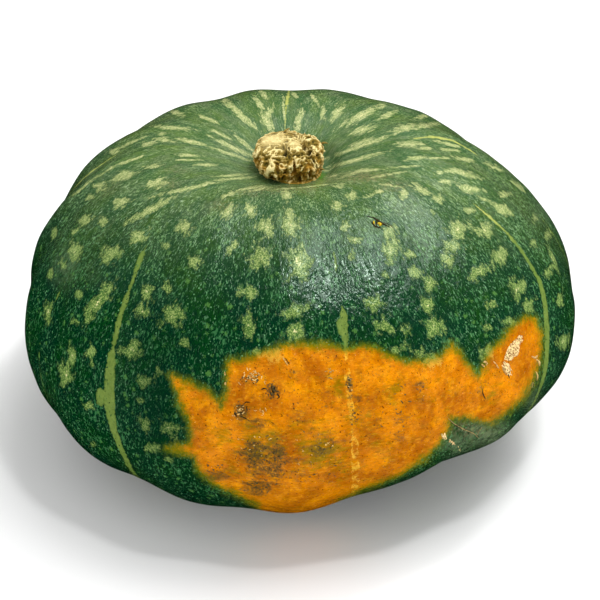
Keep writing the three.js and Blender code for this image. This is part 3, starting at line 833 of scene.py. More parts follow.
def stem_form(t, around):
    """The outline turned about the stem axis with a rounder edge in front, an eaten foot,
    lumps that fade out towards the base, a foot line that follows the seat, and a top with
    a cleft that slopes down to the front. Gives the points, the height over the foot, and
    its share."""
    radius, share, turn, inward = stem_outline(t)
    forward = (1 - np.sin(np.radians(around))) / 2
    edge = STEM_EDGE_BACK + (STEM_EDGE_FRONT - STEM_EDGE_BACK) * forward
    radius = (radius - edge * (1 - np.cos(turn))) * (1 - inward)
    gap = (around - UNDERCUT_BEARING + 180) % 360 - 180
    radius = radius * (1 - UNDERCUT * bell(gap, UNDERCUT_SPREAD) * ramp(share, 0.45, 0.05))
    lump = 0
    for lump_bearing, spread, height in STEM_LUMPS:
        lump = lump + height * bell((around - lump_bearing + 180) % 360 - 180, spread)
    radius = radius + lump * (radius / STEM_TOP_RADIUS) ** 2 * ramp(share, 0.1, 0.4)
    x = radius * np.cos(np.radians(around))
    y = radius * np.sin(np.radians(around))
    along = heading(math.radians(CLEFT_BEARING))
    offset_x, offset_y = x - CLEFT_PLACE[0], y - CLEFT_PLACE[1]
    side = offset_x * along[1] - offset_y * along[0]
    lengthwise = offset_x * along[0] + offset_y * along[1]
    top = STEM_HEIGHT - CLEFT_DEPTH * bell(side, CLEFT_WIDTH) * bell(lengthwise, CLEFT_LENGTH)
    top = top - STEM_FRONT_DROP * (0.5 - y / (2 * STEM_TOP_RADIUS)) - edge * (1 - np.sin(turn))
    foot = -SEAT_SLOPE * x
    return np.stack([x, y, foot + (top - foot) * share], -1), (top - foot) * share, share


def stem_to_frame(local):
    """Stands local stem points on the seat in the hollow, sunk a little into the skin."""
    lifted = local + [0, -STEM_FORWARD, SEAT_HEIGHT - STEM_SINK]
    placed = set_down(stand(lifted, np.zeros(local.shape[:-1])))
    placed[..., 2] = np.minimum(placed[..., 2], CAD_HIGH[2] / MM - INSET)
    return placed


def ridges(points, size, seed):
    """Sharp crests, 1 on a crest and less beside it: one less twice the size of value noise."""
    return 1 - 2 * np.abs(lattice(points, size, seed))


stem_around, stem_t = np.meshgrid(
    -360 * np.arange(STEM_COLUMNS) / STEM_COLUMNS, np.arange(1, STEM_ROWS) / STEM_ROWS
)
stem_local, stem_lift, stem_share = stem_form(stem_t, stem_around)
stem_normals = normals_of(stem_local)
stem_seen = view_places(stem_to_frame(stem_local))
stem_facing = (stem_normals @ BACK) > -0.1
marks = np.zeros(stem_t.shape)
for x, y, width, height, depth in STEM_MARKS:
    out = np.hypot((stem_seen[..., 0] - x) / (width / 2), (stem_seen[..., 1] - y) / (height / 2))
    marks += depth * bell(out, 0.85) * stem_facing

# Relief of the cork: knots, wiry crests, pits and grit, fibres that run up the side, less on
# the two domes; and a thin rim with a groove over it round the foot.
side_weight = ramp(stem_share, 0.0, 0.15) * ramp(stem_t, 0.70, 0.52)
top_weight = ramp(stem_t, 0.56, 0.72)
big_dome, small_dome = (
    strength * bell(np.linalg.norm((stem_local[..., :2] - middle) * squeeze, axis=-1), size)
    for middle, squeeze, size, strength in STEM_DOMES
)
calm = np.maximum(big_dome * top_weight, small_dome)
angles = np.radians(stem_around)
fibre_space = np.stack([
    FIBRE_RADIUS * np.cos(angles) / FIBRE_WIDTH, FIBRE_RADIUS * np.sin(angles) / FIBRE_WIDTH,
    stem_local[..., 2] / FIBRE_LENGTH,
], -1)
warp = lattice(stem_local, 2.4, 29)[..., None] * [1.1, 0.8, 0.9]
knots = lattice(stem_local, 3.0, 21) + 0.5 * lattice(stem_local, 1.5, 22)
fibres = ridges(fibre_space, 1.3, 23) + 0.5 * lattice(fibre_space * 2.1, 1.0, 24)
wires = ridges(stem_local + warp, 1.5, 25) + 0.6 * ridges(stem_local + 0.6 * warp, 0.7, 26)
grit = lattice(stem_local, 0.6, 27) + 0.6 * lattice(stem_local, 0.34, 28)
pits = np.clip(lattice(stem_local, 1.3, 30) - 0.30, 0, 1)
crag = 1 - 0.85 * calm
fibrous = 0.58 * (wires - 0.90) + 0.50 * (fibres - 0.3) * side_weight
relief = crag * (0.22 * knots + fibrous) + marks + 0.10 * grit - 1.0 * pits * crag
# The relief again, for the cork's colour: painted highlight on the crests and painted shade in
# the pits.
relief_light_and_shade = crag * (1.5 * fibrous + 0.1) + 0.45 * marks - 1.0 * pits * crag
rim = bell(stem_lift - 0.55, 0.32) * side_weight
groove = bell(stem_lift - 1.1, 0.35) * side_weight
relief = relief * (1 - 0.95 * rim) * (1 - 0.6 * groove) + 0.1 * rim - 0.3 * groove
crests = STEM_CREST * np.tanh(relief / STEM_CREST)
relief = np.where(relief > 0, crests, np.clip(relief, STEM_PIT, 0))
stem_local = stem_local + stem_normals * (relief * ramp(stem_t, 0.06, 0.12))[..., None]

stem = ring_mesh(
    "stem_cork", stem_to_frame(stem_local),
    stem_to_frame(np.array([[0.0, 0.0, 0.0]]))[0], stem_to_frame(stem_local[-1:].mean(1))[0],
)
for name, values in [("relief", relief_light_and_shade), ("calm", calm), ("rim", rim), ("gold", side_weight)]:
    add_field(stem, name, values)

# Frayed threads on the stub's torn edge: root, middle and tip from its seat, thickness.
THREADS = [
    ((-0.6, 8.6, 9.4), (0.4, 9.2, 9.9), (1.2, 9.0, 10.4), 0.9),
    ((10.6, 2.6, 7.6), (11.7, 2.4, 8.3), (12.6, 1.4, 8.0), 0.9),
    ((9.8, -4.6, 2.4), (10.7, -5.2, 2.9), (11.0, -6.0, 2.6), 0.8),
]
THREAD_COLUMNS, THREAD_ROWS = 10, 14


def thread(number, root, middle, tip, thickness):
    """A tapering thread along a bent line through three points: a circle carried from the
    root to the tip, which shrinks to nothing there."""
    t = np.linspace(0, 1, THREAD_ROWS + 2)[1:-1, None, None]
    around = 2 * np.pi * np.arange(THREAD_COLUMNS)[None, :, None] / THREAD_COLUMNS
    root, middle, tip = (np.array(point) for point in (root, middle, tip))
    line_points = (1 - t) ** 2 * root + 2 * t * (1 - t) * middle + t**2 * tip
    run = (tip - root) / np.linalg.norm(tip - root)
    side = np.cross(run, [0.3, 0.2, 1.0])
    side /= np.linalg.norm(side)
    radius = thickness / 2 * (1 - t) ** 0.7
    local = line_points + radius * (np.cos(around) * side - np.sin(around) * np.cross(run, side))
    ends = stem_to_frame(np.array([[root, tip]]))[0]
    return ring_mesh(f"stem_thread_{number}", stem_to_frame(local), *ends)


threads = [thread(number, *values) for number, values in enumerate(THREADS, 1)]

# ---------------------------------------------------------------- scabs on the skin

OUT_OF_REACH, LEAST_FACING = 1000, 0.03


def nearest_point(place):
    """Row and column of the seen skin point that shows at this place in the main view; the
    hidden ones are put out of reach."""
    gap = np.linalg.norm(seen - place, axis=-1) + OUT_OF_REACH * (facing < LEAST_FACING)
    return np.unravel_index(gap.argmin(), gap.shape)


SCAB_ROWS, SCAB_COLUMNS = 40, 72
SCAB_TOP = 0.62  # share of a scab's rows that lie on its upper face
SCAB_SINK = 0.12
SCAB_BEND = 60.0  # radius of the skin's curve under a scab


def scab(number, start, end, width, height):
    """A crust on the skin: a lens round a line between two points of the skin, whose
    thickness is its height times one less the squared share of the way to its edge, made
    rough by noise, with its edge sunk into the skin."""
    a, b = nearest_point(start), nearest_point(end)
    first, last = skin_points[a], skin_points[b]
    normal = skin_normals[a] + skin_normals[b]
    normal /= np.linalg.norm(normal)
    half = width * MM_PER_STEP / 2
    run = last - first
    length = np.linalg.norm(run)
    along = run / length
    side = np.cross(normal, along)
    around, out = np.meshgrid(
        2 * np.pi * np.arange(SCAB_COLUMNS) / SCAB_COLUMNS, np.arange(1, SCAB_ROWS) / SCAB_ROWS
    )
    top = out <= SCAB_TOP
    share = np.where(top, out / SCAB_TOP, (1 - out) / (1 - SCAB_TOP))
    ring = np.stack([np.cos(around), np.sin(around), around * 0 + number], -1)
    wobble = 1 + 0.3 * lattice(ring, 0.45, 31)
    local_u = share * np.cos(around) * (length / 2 + half) * wobble
    local_v = share * np.sin(around) * half * wobble
    middle = (first + last) / 2
    flat = middle + local_u[..., None] * along + local_v[..., None] * side
    bend = ((flat - middle) ** 2).sum(-1) / (2 * SCAB_BEND)
    lump = 1 - share**2
    rough = 0.7 + 0.6 * lattice(flat, 0.55, 32) + 0.4 * lattice(flat, 0.35, 33)
    lift = np.where(top, height * lump**0.5 * np.clip(rough, 0.25, 2), -0.5 * lump) - SCAB_SINK
    points = flat + (lift - bend)[..., None] * normal
    return ring_mesh(f"scab_{number}", points, points[0].mean(0), points[-1].mean(0))


scabs = [scab(number, *values) for number, values in enumerate(SCABS, 1)]

# ---------------------------------------------------------------- crumbs and cuts


def grid_value(field, row, column):
    """A skin field between its grid points, by shares of the four nearest."""
    low_row, low_column = np.floor(row).astype(int), np.floor(column).astype(int)
    down, across = (row - low_row)[..., None], (column - low_column)[..., None]
    rows = np.clip([low_row, low_row + 1], 0, field.shape[0] - 1)
    columns = np.array([low_column, low_column + 1]) % field.shape[1]
    above = field[rows[0], columns[0]] * (1 - across) + field[rows[0], columns[1]] * across
    below = field[rows[1], columns[0]] * (1 - across) + field[rows[1], columns[1]] * across
    return above * (1 - down) + below * down


NEWTON_STEPS = 6


def skin_at(places):
    """Points and normals of the skin that show at these places in the main view: Newton
    steps from the nearest grid point."""
    row, column = np.array([nearest_point(place) for place in places], float).T
    for _ in range(NEWTON_STEPS):
        miss = places - grid_value(seen, row, column)
        down = grid_value(seen, row + 0.5, column) - grid_value(seen, row - 0.5, column)
        across = grid_value(seen, row, column + 0.5) - grid_value(seen, row, column - 0.5)
        area = down[:, 0] * across[:, 1] - down[:, 1] * across[:, 0]
        row_step = (miss[:, 0] * across[:, 1] - miss[:, 1] * across[:, 0]) / area
        column_step = (down[:, 0] * miss[:, 1] - down[:, 1] * miss[:, 0]) / area
        row, column = row + np.clip(row_step, -1, 1), column + np.clip(column_step, -1, 1)
    return grid_value(skin_points, row, column), grid_value(skin_normals, row, column)


STRIP_ROWS, STRIP_COLUMNS = 9, 8
MAP_SHARES = 20  # strips to a row, and rows, in the bake map that they share
MAP_EDGES = (0.05, 0.95)  # the part of its own square of the map that a strip fills
STRIP_FOOT = 0.15  # how deep a strip goes into the skin


def scattered(x, y, reach_x, reach_y, count, shade):
    """Short bent strips by a seeded draw round a place, most of them nearly level."""
    rng = np.random.default_rng(int(10 * x + y) + int(shade * 7))
    for _ in range(count):
        middle = (x, y) + rng.normal(0, 0.55, 2) * (reach_x, reach_y)
        turn, bend, half = rng.normal(0, 0.6), rng.normal(0, 0.7), rng.uniform(0.8, 2.3)
        first, last = (middle + way * half * heading(turn + way * bend) for way in (-1, 1))
        yield (first, middle, last), rng.uniform(0.5, 0.95), rng.uniform(0.06, 0.16), shade


def strip(number, knots, width, height, shade):
    """A crumb or a cut along bent knots: half an oval, as wide and as high as given, that
    shrinks to nothing at both ends, made lumpy by noise, with its foot in the skin."""
    knots = np.array(knots, float)
    reach = np.concatenate([[0], np.cumsum(np.linalg.norm(np.diff(knots, axis=0), axis=1))])
    share = np.linspace(0, 1, STRIP_ROWS + 2)
    stops = share * reach[-1]
    places = np.stack([np.interp(stops, reach, knots[:, axis]) for axis in (0, 1)], -1)
    points, normals = skin_at(places)
    run = np.gradient(points, axis=0)
    run /= np.linalg.norm(run, axis=1, keepdims=True)
    side = np.cross(normals, run)
    around = 2 * np.pi * np.arange(STRIP_COLUMNS) / STRIP_COLUMNS
    taper = np.sqrt(1 - (2 * share - 1) ** 2)[:, None]
    lumps = 1 + 0.5 * lattice(points + number, 0.7, 34)[:, None]
    half = width * MM_PER_STEP / 2 * taper * lumps
    rise = np.where(np.sin(around) < 0, height * lumps * taper, STRIP_FOOT * taper)
    lift = rise * -np.sin(around)
    rings = points[:, None] + (half * np.cos(around))[..., None] * side[:, None]
    rings = rings + lift[..., None] * normals[:, None]
    across = (number % MAP_SHARES + np.linspace(*MAP_EDGES, STRIP_COLUMNS + 1)) / MAP_SHARES
    down = (number // MAP_SHARES + np.linspace(*MAP_EDGES, STRIP_ROWS + 2)) / MAP_SHARES
    piece = ring_mesh(f"crumb_{number}", rings[1:-1], points[0], points[-1], across, down)
    add_field(piece, "shade", np.full((STRIP_ROWS, STRIP_COLUMNS), shade))
    return piece


def joined(pieces, name):
    """Several meshes made one."""
    with bpy.context.temp_override(active_object=pieces[0], selected_editable_objects=pieces):
        bpy.ops.object.join()
    pieces[0].name = pieces[0].data.name = name
    return pieces[0]


all_strips = STRIPS + [values for cluster in CLUSTERS for values in scattered(*cluster)]
strips = [strip(number, *values) for number, values in enumerate(all_strips)]
crumbs = joined(strips, "crumbs_and_cuts")

# ---------------------------------------------------------------- materials


class Value:
    """An output of a node, which adds, subtracts and multiplies as a number does."""

    def __init__(self, shader, socket):
        self.shader, self.socket = shader, socket

    def __add__(self, other):
        return self.shader.math("ADD", self, other)

    def __sub__(self, other):
        return self.shader.math("SUBTRACT", self, other)

    def __rsub__(self, other):
        return self.shader.math("SUBTRACT", other, self)

    def __mul__(self, other):
        return self.shader.math("MULTIPLY", self, other)

    def __abs__(self):
        return self.shader.math("ABSOLUTE", self)


# The sockets of a Mix node that it uses for colours.
MIX_SHARE, MIX_A, MIX_B, MIX_RESULT = 0, 6, 7, 2


class Shader:
    """A material's node tree, written as expressions."""

    def __init__(self, name):
        self.material = bpy.data.materials.new(name)
        self.material.use_nodes = True
        self.tree = self.material.node_tree
        self.surface = self.tree.nodes["Principled BSDF"]

    def wire(self, node, inputs):
        """Links or sets inputs of a node, given by name or number."""
        for key, value in inputs.items():
            if isinstance(value, Value):
                self.tree.links.new(value.socket, node.inputs[key])
            else:
                node.inputs[key].default_value = value

    def node(self, kind, inputs):
        """A new node with these inputs."""
        node = self.tree.nodes.new("ShaderNode" + kind)
        self.wire(node, inputs)
        return node

    def output(self, node, key=0):
        return Value(self, node.outputs[key])

    def field(self, name, vector=False):
        """A value that the mesh keeps for each of its points."""
        node = self.node("Attribute", {})
        node.attribute_name = name
        return self.output(node, "Vector" if vector else "Fac")

    def math(self, operation, a, b=0.0):
        node = self.node("Math", {0: a, 1: b})
        node.operation = operation
        return self.output(node)

    def ramp(self, value, start, end, low=0.0, high=1.0):
        """From low at start to high at end, with a soft start and finish."""
        node = self.node("MapRange", dict(enumerate((value, start, end, low, high))))
        node.interpolation_type = "SMOOTHSTEP"
        return self.output(node)

    def mix(self, share, a, b):
        """From colour a at share 0 to colour b at share 1."""
        node = self.node("Mix", {})
        node.data_type = "RGBA"
        self.wire(node, {MIX_SHARE: share, MIX_A: a, MIX_B: b})
        return self.output(node, MIX_RESULT)

    def stretch(self, vector, scale):
        node = self.node("VectorMath", {0: vector, 1: scale})
        node.operation = "MULTIPLY"
        return self.output(node)

    def noise(self, vector, size, detail=2.0, roughness=0.5, distortion=0.0):
        """Cloudy noise, 0 to 1, whose lumps are about this many millimetres across."""
        node = self.node("TexNoise", {
            "Vector": vector, "Scale": 1 / size, "Detail": detail, "Roughness": roughness,
            "Distortion": distortion,
        })
        return self.output(node, "Fac")

    def cells(self, vector, size):
        """Distance to the nearest of some scattered points, as a share of their spacing,
        and a random number for each point."""
        node = self.node("TexVoronoi", {"Vector": vector, "Scale": 1 / size})
        pick = self.node("SeparateColor", {0: self.output(node, "Color")})
        return self.output(node, "Distance"), self.output(pick)

    def object_place(self):
        """Object coordinates in millimetres."""
        place = self.output(self.node("TexCoord", {}), "Object")
        return self.stretch(place, (1 / MM, 1 / MM, 1 / MM))

    def bump(self, height, depth):
        """A surface direction from a height of 0 to 1 that stands this many millimetres."""
        inputs = {"Strength": 1.0, "Distance": depth * MM, "Height": height}
        return self.output(self.node("Bump", inputs), "Normal")

    def finish(self, base, roughness, normal, specular):
        self.wire(self.surface, {
            "Base Color": base, "Roughness": roughness, "Normal": normal,
            "Specular IOR Level": specular,
        })
        return self.material


def flecked_green(s, grow, place, tone_and_sheen, underside_shade):
    """Green from blue to yellow, lighter and greyer on the crown, partly a real dusty bloom and
    partly painted sheen, and darker under the widest part as painted shade; with a fine dark
    network, dim leafy dots, and tiny pale flecks, strokes and dots that crowd in places, the
    strokes partly painted glints."""
    hue = s.ramp(s.noise(grow, 16.0, 3.0, 0.55), 0.36, 0.64)
    crown = s.mix(hue, colour(78, 110, 66), colour(98, 124, 60))
    # The crown's grey dust is partly a real bloom and partly painted sheen of the overhead light.
    dusty_sheen = s.ramp(s.noise(grow, 11.0, 3.0, 0.6), 0.48, 0.66)
    crown = s.mix(dusty_sheen * 0.45, crown, colour(126, 136, 102))
    mottle = s.ramp(s.noise(grow, 2.6, 4.0, 0.7), 0.35, 0.65)
    crown = s.mix(mottle * 0.35, crown, colour(54, 90, 46))
    flank = s.mix(hue, colour(0, 48, 25), colour(2, 54, 12))
    green = s.mix(tone_and_sheen, crown, flank)
    # Painted shade: darker under the widest part.
    green = s.mix(underside_shade * 0.5, green, colour(0, 32, 20))
    streaky = s.stretch(grow, (1.0, 1.0, 0.65))
    net = abs(s.noise(streaky, 1.5, 3.0, 0.65, 0.9) - 0.5)
    net = s.ramp(net, 0.075, 0.01) * 0.6
    green = s.mix(net, green, s.mix(tone_and_sheen, colour(38, 74, 38), colour(0, 28, 20)))
    crowd = (s.noise(grow, 9.0, 3.0) - 0.5) * 0.4
    fine = s.noise(place, 0.45, 2.0, 0.7) - 0.5
    distance, chance = s.cells(place, 2.9)
    leaf = distance + fine * 0.8 - chance * 0.24
    leaf = s.ramp(leaf, 0.1, -0.06) * (tone_and_sheen * 0.55 + 0.15)
    green = s.mix(leaf, green, s.mix(tone_and_sheen, colour(134, 152, 96), colour(78, 128, 56)))
    fleck = s.noise(streaky, 0.75, 2.0, 0.55, 0.8) + (crowd - underside_shade * 0.05)
    fleck = s.ramp(fleck, 0.56, tone_and_sheen * 0.05 + 0.63)
    dot, dot_chance = s.cells(place, 1.5)
    dot = s.ramp(dot, 0.2, 0.1) * (s.ramp(dot_chance, 0.45, 0.5) * tone_and_sheen)
    middle = tone_and_sheen * (1.0 - tone_and_sheen)
    fleck = fleck * (middle + 0.58)
    green = s.mix(fleck, green, s.mix(tone_and_sheen, colour(154, 174, 120), colour(62, 122, 72)))
    # Pale strokes, most in the band between crown and flanks: partly the rind's own, partly
    # painted glints.
    stroke = s.noise(s.stretch(grow, (1.0, 1.0, 0.5)), 0.55, 1.0, 0.5, 0.6)
    stroke = s.ramp(stroke, 0.63, 0.69) * (middle * 1.4 + 0.3)
    green = s.mix(stroke, green, s.mix(tone_and_sheen, colour(186, 202, 162), colour(112, 164, 118)))
    return s.mix(dot * 0.7, green, colour(112, 168, 116))


def blotch_share(s, grow):
    """1 in a blotch: its field, made clumpy and frosty at its edge by noise, and feathery
    along its spokes; and how deep inside it a place lies."""
    ragged = s.noise(s.stretch(grow, (1.0, 1.0, 0.7)), 0.9, 5.0, 0.85)
    clumps = s.noise(grow, 2.6, 2.0, 0.5)
    spikes = s.noise(s.stretch(s.field("spoke", vector=True), (1.0, 1.0, 3.7)), 0.7, 3.0, 0.6)
    frost = (ragged - 0.5) * 3.2 + (clumps - 0.5) * 2.6 + (spikes - 0.5) * 1.1
    depth = s.field("blotch") + frost
    return s.ramp(depth, -0.30, 0.34), depth


def ground_patch(s, grow, place, line, blotch, underside_shade):
    """Orange rind: brighter and darker clouds, olive shade, a fine level grain, dirt in
    the scuffs with cream flecks among it, and small dark specks."""
    warmth = s.ramp(s.noise(grow, 9.0, 4.0, 0.6), 0.35, 0.65)
    rust = s.mix(warmth, colour(166, 88, 0), colour(216, 128, 0))
    # Painted shade: darker under the widest part.
    rust = s.mix(underside_shade * 0.6, rust, colour(146, 92, 0))
    cloud = s.ramp(s.noise(grow, 4.0, 5.0, 0.7, 0.4), 0.48, 0.70)
    rust = s.mix(cloud * 0.4, rust, colour(246, 166, 0))
    soiled = s.ramp(s.noise(grow, 3.0, 5.0, 0.75), 0.50, 0.68)
    rust = s.mix(soiled * 0.35, rust, colour(128, 88, 0))
    level = s.stretch(grow, (0.6, 0.6, 1.7))  # what runs level, round the fruit
    olive_noise = s.noise(level, 2.6, 5.0, 0.75) - 0.5
    shade = s.ramp(s.field("olive") + olive_noise * 2.4, 0.1, 0.8)
    rust = s.mix(shade * 0.78, rust, colour(118, 104, 0))
    grain = s.noise(level, 0.9, 4.0, 0.65, 0.5)
    rust = s.mix(s.ramp(grain, 0.52, 0.7) * 0.45, rust, colour(124, 70, 0))
    rust = s.mix(s.ramp(grain, 0.48, 0.32) * 0.25, rust, colour(246, 186, 40))
    broken = s.ramp(s.noise(grow, 2.4, 4.0, 0.7), 0.42, 0.60)
    rust = s.mix(line * broken * 0.55, rust, colour(250, 200, 60))
    rust = s.mix(blotch * 0.45, rust, colour(226, 184, 62))
    scuff = s.field("scuff")
    torn = scuff + (s.noise(level, 4.5, 5.0, 0.75) - 0.5) * 2.2
    rust = s.mix(s.ramp(torn, 0.2, 1.0) * 0.35, rust, colour(122, 92, 0))
    wiggle = abs(s.noise(grow, 1.9, 3.0, 0.7, 1.4) - 0.5)
    wiggle = s.ramp(wiggle, 0.1, 0.03) * s.ramp(torn, 0.3, 0.75)
    clots = s.ramp(s.noise(grow, 0.9, 4.0, 0.8, 1.0) + torn * 0.1, 0.62, 0.68)
    dust = s.math("MAXIMUM", wiggle, clots)
    rust = s.mix(dust * 0.75, rust, colour(72, 50, 0))
    cream = s.ramp(s.noise(place, 0.5, 2.0, 0.6) + scuff * 0.03, 0.73, 0.78)
    rust = s.mix(cream * 0.8, rust, colour(252, 218, 140))
    specks = s.ramp(s.noise(place, 0.62, 1.0, 0.5), 0.67, 0.73)
    return s.mix(specks * 0.85, rust, colour(78, 36, 2)), grain, dust


def rind_material():
    """Green rind with flecks, blotches and pale furrow lines, and the orange ground patch."""
    s = Shader("waxy_rind")
    grow = s.field("growth", vector=True)  # round the fruit and down the rind, in mm
    place = s.object_place()
    tone_and_sheen, underside_shade = s.field("tone_and_sheen"), s.field("underside_shade")
    fringe = s.noise(grow, 1.3, 5.0, 0.75) - 0.5
    fine = s.noise(place, 0.55, 3.0, 0.6)

    green = flecked_green(s, grow, place, tone_and_sheen, underside_shade)
    blotch, depth = blotch_share(s, grow)
    veins = s.ramp(s.noise(place, 0.45, 2.0, 0.6, 0.3) + depth * 0.06, 0.46, 0.64)
    pale_gap = s.mix(tone_and_sheen, colour(142, 160, 96), colour(66, 102, 42))
    pale = s.mix(veins, pale_gap, s.mix(tone_and_sheen, colour(208, 209, 149), colour(142, 164, 88)))
    middle = s.ramp(s.field("blotch") + (fine - 0.5) * 1.6, 0.8, 1.05)
    pale = s.mix(middle * 0.8, pale, colour(248, 238, 176))
    halo = s.ramp(depth, -1.0, -0.5) * 0.45
    green = s.mix(halo, green, s.mix(tone_and_sheen, colour(52, 92, 52), colour(0, 36, 26)))
    green = s.mix(blotch * 0.88, green, pale)
    # Painted shade: darker green in these places.
    green = s.mix(s.field("deep") * 0.6, green, colour(0, 36, 22))

    distance = abs(s.field("furrow"))
    nibbled = s.noise(place, 1.1, 4.0, 0.75) - 0.5
    nibbled = nibbled + (s.noise(place, 3.0, 3.0, 0.6) - 0.5) * 0.9
    margin = s.field("line") * 0.5 - distance + nibbled * 1.7
    margin = s.math("MAXIMUM", margin, s.field("leaf") + nibbled * 0.9)
    line = s.ramp(margin, -0.10, 0.12)
    line = line * s.ramp(s.noise(place, 0.8, 2.0, 0.5), 0.7, 0.64)
    line_green = s.mix(s.noise(place, 1.4, 4.0, 0.7), colour(64, 94, 26), colour(140, 160, 78))
    line_green = s.mix(s.ramp(tone_and_sheen, 0.75, 0.35), line_green, colour(190, 194, 104))
    # Painted shade: darker under the widest part.
    line_green = s.mix(underside_shade * 0.6, line_green, colour(66, 88, 26))
    line_green = s.mix(s.ramp(margin, 0.45, 0.05) * 0.45, line_green, colour(40, 74, 24))
    green = s.mix(line * 0.85, green, line_green)

    # Grey-green places: partly real dust, partly painted sheen of reflected light.
    dusty_sheen = s.field("dust_and_sheen") * s.ramp(s.noise(grow, 2.0, 4.0, 0.7), 0.3, 0.6)
    green = s.mix(dusty_sheen * 0.7, green, colour(108, 128, 92))
    warm = s.field("tinge") * s.ramp(s.noise(place, 0.9, 4.0, 0.7), 0.38, 0.62)
    green = s.mix(warm * 0.5, green, colour(164, 138, 104))

    wander = s.noise(grow, 6.0, 5.0, 0.65) - 0.5
    frayed = fringe * 4.0 + (fine - 0.5) * 2.4
    edge = s.field("patch") + (wander * 4.5 + frayed)
    border = s.ramp(edge, -3.0, 1.0)
    core = s.ramp(edge, -1.2, 2.2)
    rust, grain, dust = ground_patch(s, grow, place, line, blotch, underside_shade)
    skin_colour = s.mix(border * 0.85, green, colour(104, 114, 0))
    skin_colour = s.mix(core, skin_colour, rust)
    skin_colour = s.mix(s.field("fresh") * 0.75, skin_colour, colour(72, 142, 12))

    pebble = s.noise(s.stretch(grow, (1.0, 1.0, 0.7)), 0.7, 1.0, 0.5, 0.9)
    plates = s.ramp(s.noise(grow, 6.0, 3.0, 0.6), 0.44, 0.54)
    height = pebble * (plates * 0.4 + 0.35) + s.noise(grow, 2.8, 2.0) * 1.5
    height = height + blotch * 0.15 + core * grain * 0.35
    normal = s.bump(height, 0.21)
    rough = s.ramp(s.noise(grow, 2.6, 3.0), 0.3, 0.7, 0.11, 0.22)
    rough = rough + core * dust * 0.3
    s.surface.inputs["Specular Tint"].default_value = (0.80, 1.0, 0.86, 1)
    return s.finish(skin_colour, rough, normal, 0.45)


def cork_material():
    """Dry cork: cream on what stands out as painted highlight, golden brown on the flanks, dark
    in the pits as painted shade.
    """
    s = Shader("dry_cork")
    place = s.object_place()
    relief, calm = s.field("relief"), s.field("calm")
    rim, gold = s.field("rim"), s.field("gold")
    grain = s.noise(place, 0.5, 4.0, 0.65)
    patchy = s.noise(place, 3.0, 3.0, 0.6)
    # Colour by relief: painted shade in the pits, painted highlight on the crests.
    level = relief + (grain - 0.5)
    base = s.mix(s.ramp(level, -1.1, -0.55), colour(34, 32, 4), colour(92, 80, 20))
    base = s.mix(s.ramp(level, -0.6, 0.0), base, colour(146, 122, 50))
    base = s.mix(s.ramp(level, 0.0, 0.55), base, colour(240, 222, 156))
    base = s.mix(gold * s.ramp(patchy, 0.35, 0.6) * 0.6, base, colour(182, 130, 36))
    base = s.mix(calm * 0.75, base, s.mix(grain, colour(210, 184, 112), colour(252, 238, 176)))
    base = s.mix(rim * 0.65, base, colour(188, 146, 50))
    height = grain * 0.6 + s.noise(place, 0.25, 3.0) * 0.4
    return s.finish(base, 0.85, s.bump(height, 0.25), 0.2)


def scab_material():
    """Dry crust on the rind: tan on top, brown in its pits as painted shade."""
    s = Shader("dry_scab")
    place = s.object_place()
    grain = s.noise(place, 0.5, 3.0, 0.7)
    # Brown where the bump sinks: painted shade in the pits.
    base = s.mix(s.ramp(grain, 0.40, 0.56), colour(132, 84, 28), colour(246, 218, 156))
    return s.finish(base, 0.9, s.bump(grain, 0.3), 0.2)


def crumb_material():
    """Dark in the cuts and in the painted shadows beside crumbs and grazes, tan to cream on the
    crumbs, and yellow flesh in the open cut.
    """
    s = Shader("crumbs")
    place = s.object_place()
    shade = s.field("shade")
    grain = s.ramp(s.noise(place, 0.5, 3.0, 0.7), 0.35, 0.60)
    tan = s.mix(grain, colour(104, 88, 44), colour(170, 150, 92))
    cream = s.mix(grain, colour(160, 110, 34), colour(240, 204, 128))
    yellow = s.mix(grain, colour(150, 120, 4), colour(240, 206, 30))
    # Dark in the cuts, and in painted shadows beside the crumbs and grazes.
    base = s.mix(s.ramp(shade, 0.2, 0.5), s.mix(grain, colour(12, 14, 0), colour(58, 46, 2)), tan)
    base = s.mix(s.ramp(shade, 0.7, 0.9), base, cream)
    base = s.mix(s.ramp(shade, 1.3, 1.7), base, yellow)
    return s.finish(base, 0.6, s.bump(grain, 0.15), 0.3)


skin.data.materials.append(rind_material())
stem.data.materials.append(cork_material())
crumbs.data.materials.append(crumb_material())
crust = scab_material()
for piece in scabs:
    piece.data.materials.append(crust)
for piece in threads:
    piece.data.materials.append(stem.data.materials[0])

# ---------------------------------------------------------------- floor, light, camera


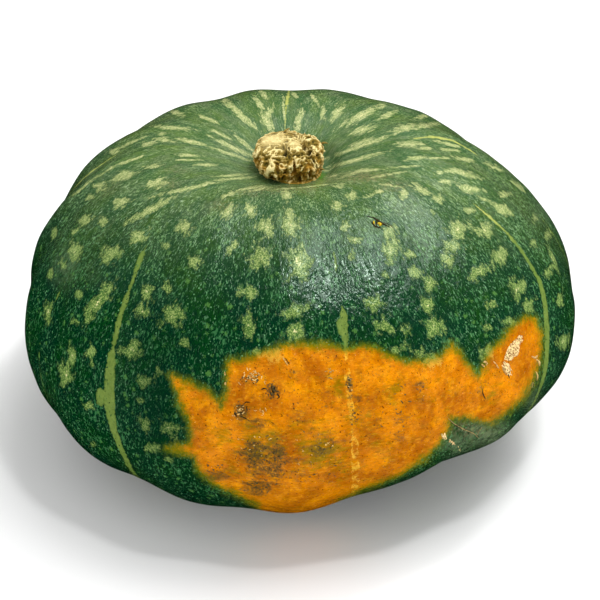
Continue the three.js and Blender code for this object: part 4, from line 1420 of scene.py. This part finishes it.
def floor_plane():
    """A plain pale floor, left out of the gloss as a dark room round the table would be."""
    half = 1.5
    mesh = bpy.data.meshes.new("floor")
    corners = [(-half, -half, 0), (half, -half, 0), (half, half, 0), (-half, half, 0)]
    mesh.from_pydata(corners, [], [(0, 1, 2, 3)])
    floor = bpy.data.objects.new("floor", mesh)
    bpy.context.scene.collection.objects.link(floor)
    pale = bpy.data.materials.new("pale_floor")
    pale.use_nodes = True
    surface = pale.node_tree.nodes["Principled BSDF"]
    surface.inputs["Base Color"].default_value = (0.92, 0.92, 0.92, 1)
    surface.inputs["Roughness"].default_value = 0.8
    surface.inputs["Specular IOR Level"].default_value = 0.1
    mesh.materials.append(pale)
    floor.visible_glossy = False


def soft_light(name, place, aim, size, power):
    """A square soft light at a place, turned towards a point."""
    data = bpy.data.lights.new(name, "AREA")
    data.size = size
    data.energy = power
    light = bpy.data.objects.new(name, data)
    light.location = place
    light.rotation_euler = (Vector(aim) - Vector(place)).to_track_quat("-Z", "Y").to_euler()
    bpy.context.scene.collection.objects.link(light)
    return light


floor_plane()
MIDDLE = (0, 0, 0.05)
soft_light("overhead", (0.40, 0.16, 1.1), MIDDLE, 0.75, 8.1)
soft_light("key", (0.26, -0.24, 1.05), MIDDLE, 0.09, 1.9)
soft_light("back_key", (0.42, 0.26, 0.95), MIDDLE, 0.12, 1.6).visible_glossy = False
for name, place in [("left_fill", (-0.85, -0.35, 0.2)), ("right_fill", (0.8, -0.5, 0.15))]:
    soft_light(name, place, MIDDLE, 0.5, 3.2).visible_glossy = False

world = bpy.data.worlds.new("studio")
world.use_nodes = True
world.node_tree.nodes["Background"].inputs["Color"].default_value = (1, 1, 1, 1)
world.node_tree.nodes["Background"].inputs["Strength"].default_value = 0.70
world.cycles_visibility.glossy = False  # only the lamps show in the gloss
bpy.context.scene.world = world
bpy.context.scene.view_settings.view_transform = "Standard"

camera_data = bpy.data.cameras.new("camera")
camera_data.lens, camera_data.sensor_width = LENS, SENSOR
camera_data.clip_start, camera_data.clip_end = 0.01, 20
camera = bpy.data.objects.new("camera", camera_data)
camera.location = Vector(EYE * MM)
camera.rotation_euler = Vector(-BACK).to_track_quat("-Z", "Y").to_euler()
bpy.context.scene.collection.objects.link(camera)
bpy.context.scene.camera = camera

# ---------------------------------------------------------------- ties to the frame

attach(skin, "root")
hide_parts("squash_fruit")
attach(stem, "root")
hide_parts("stem_stub")
for piece in scabs + threads + [crumbs]:
    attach(piece, "root")
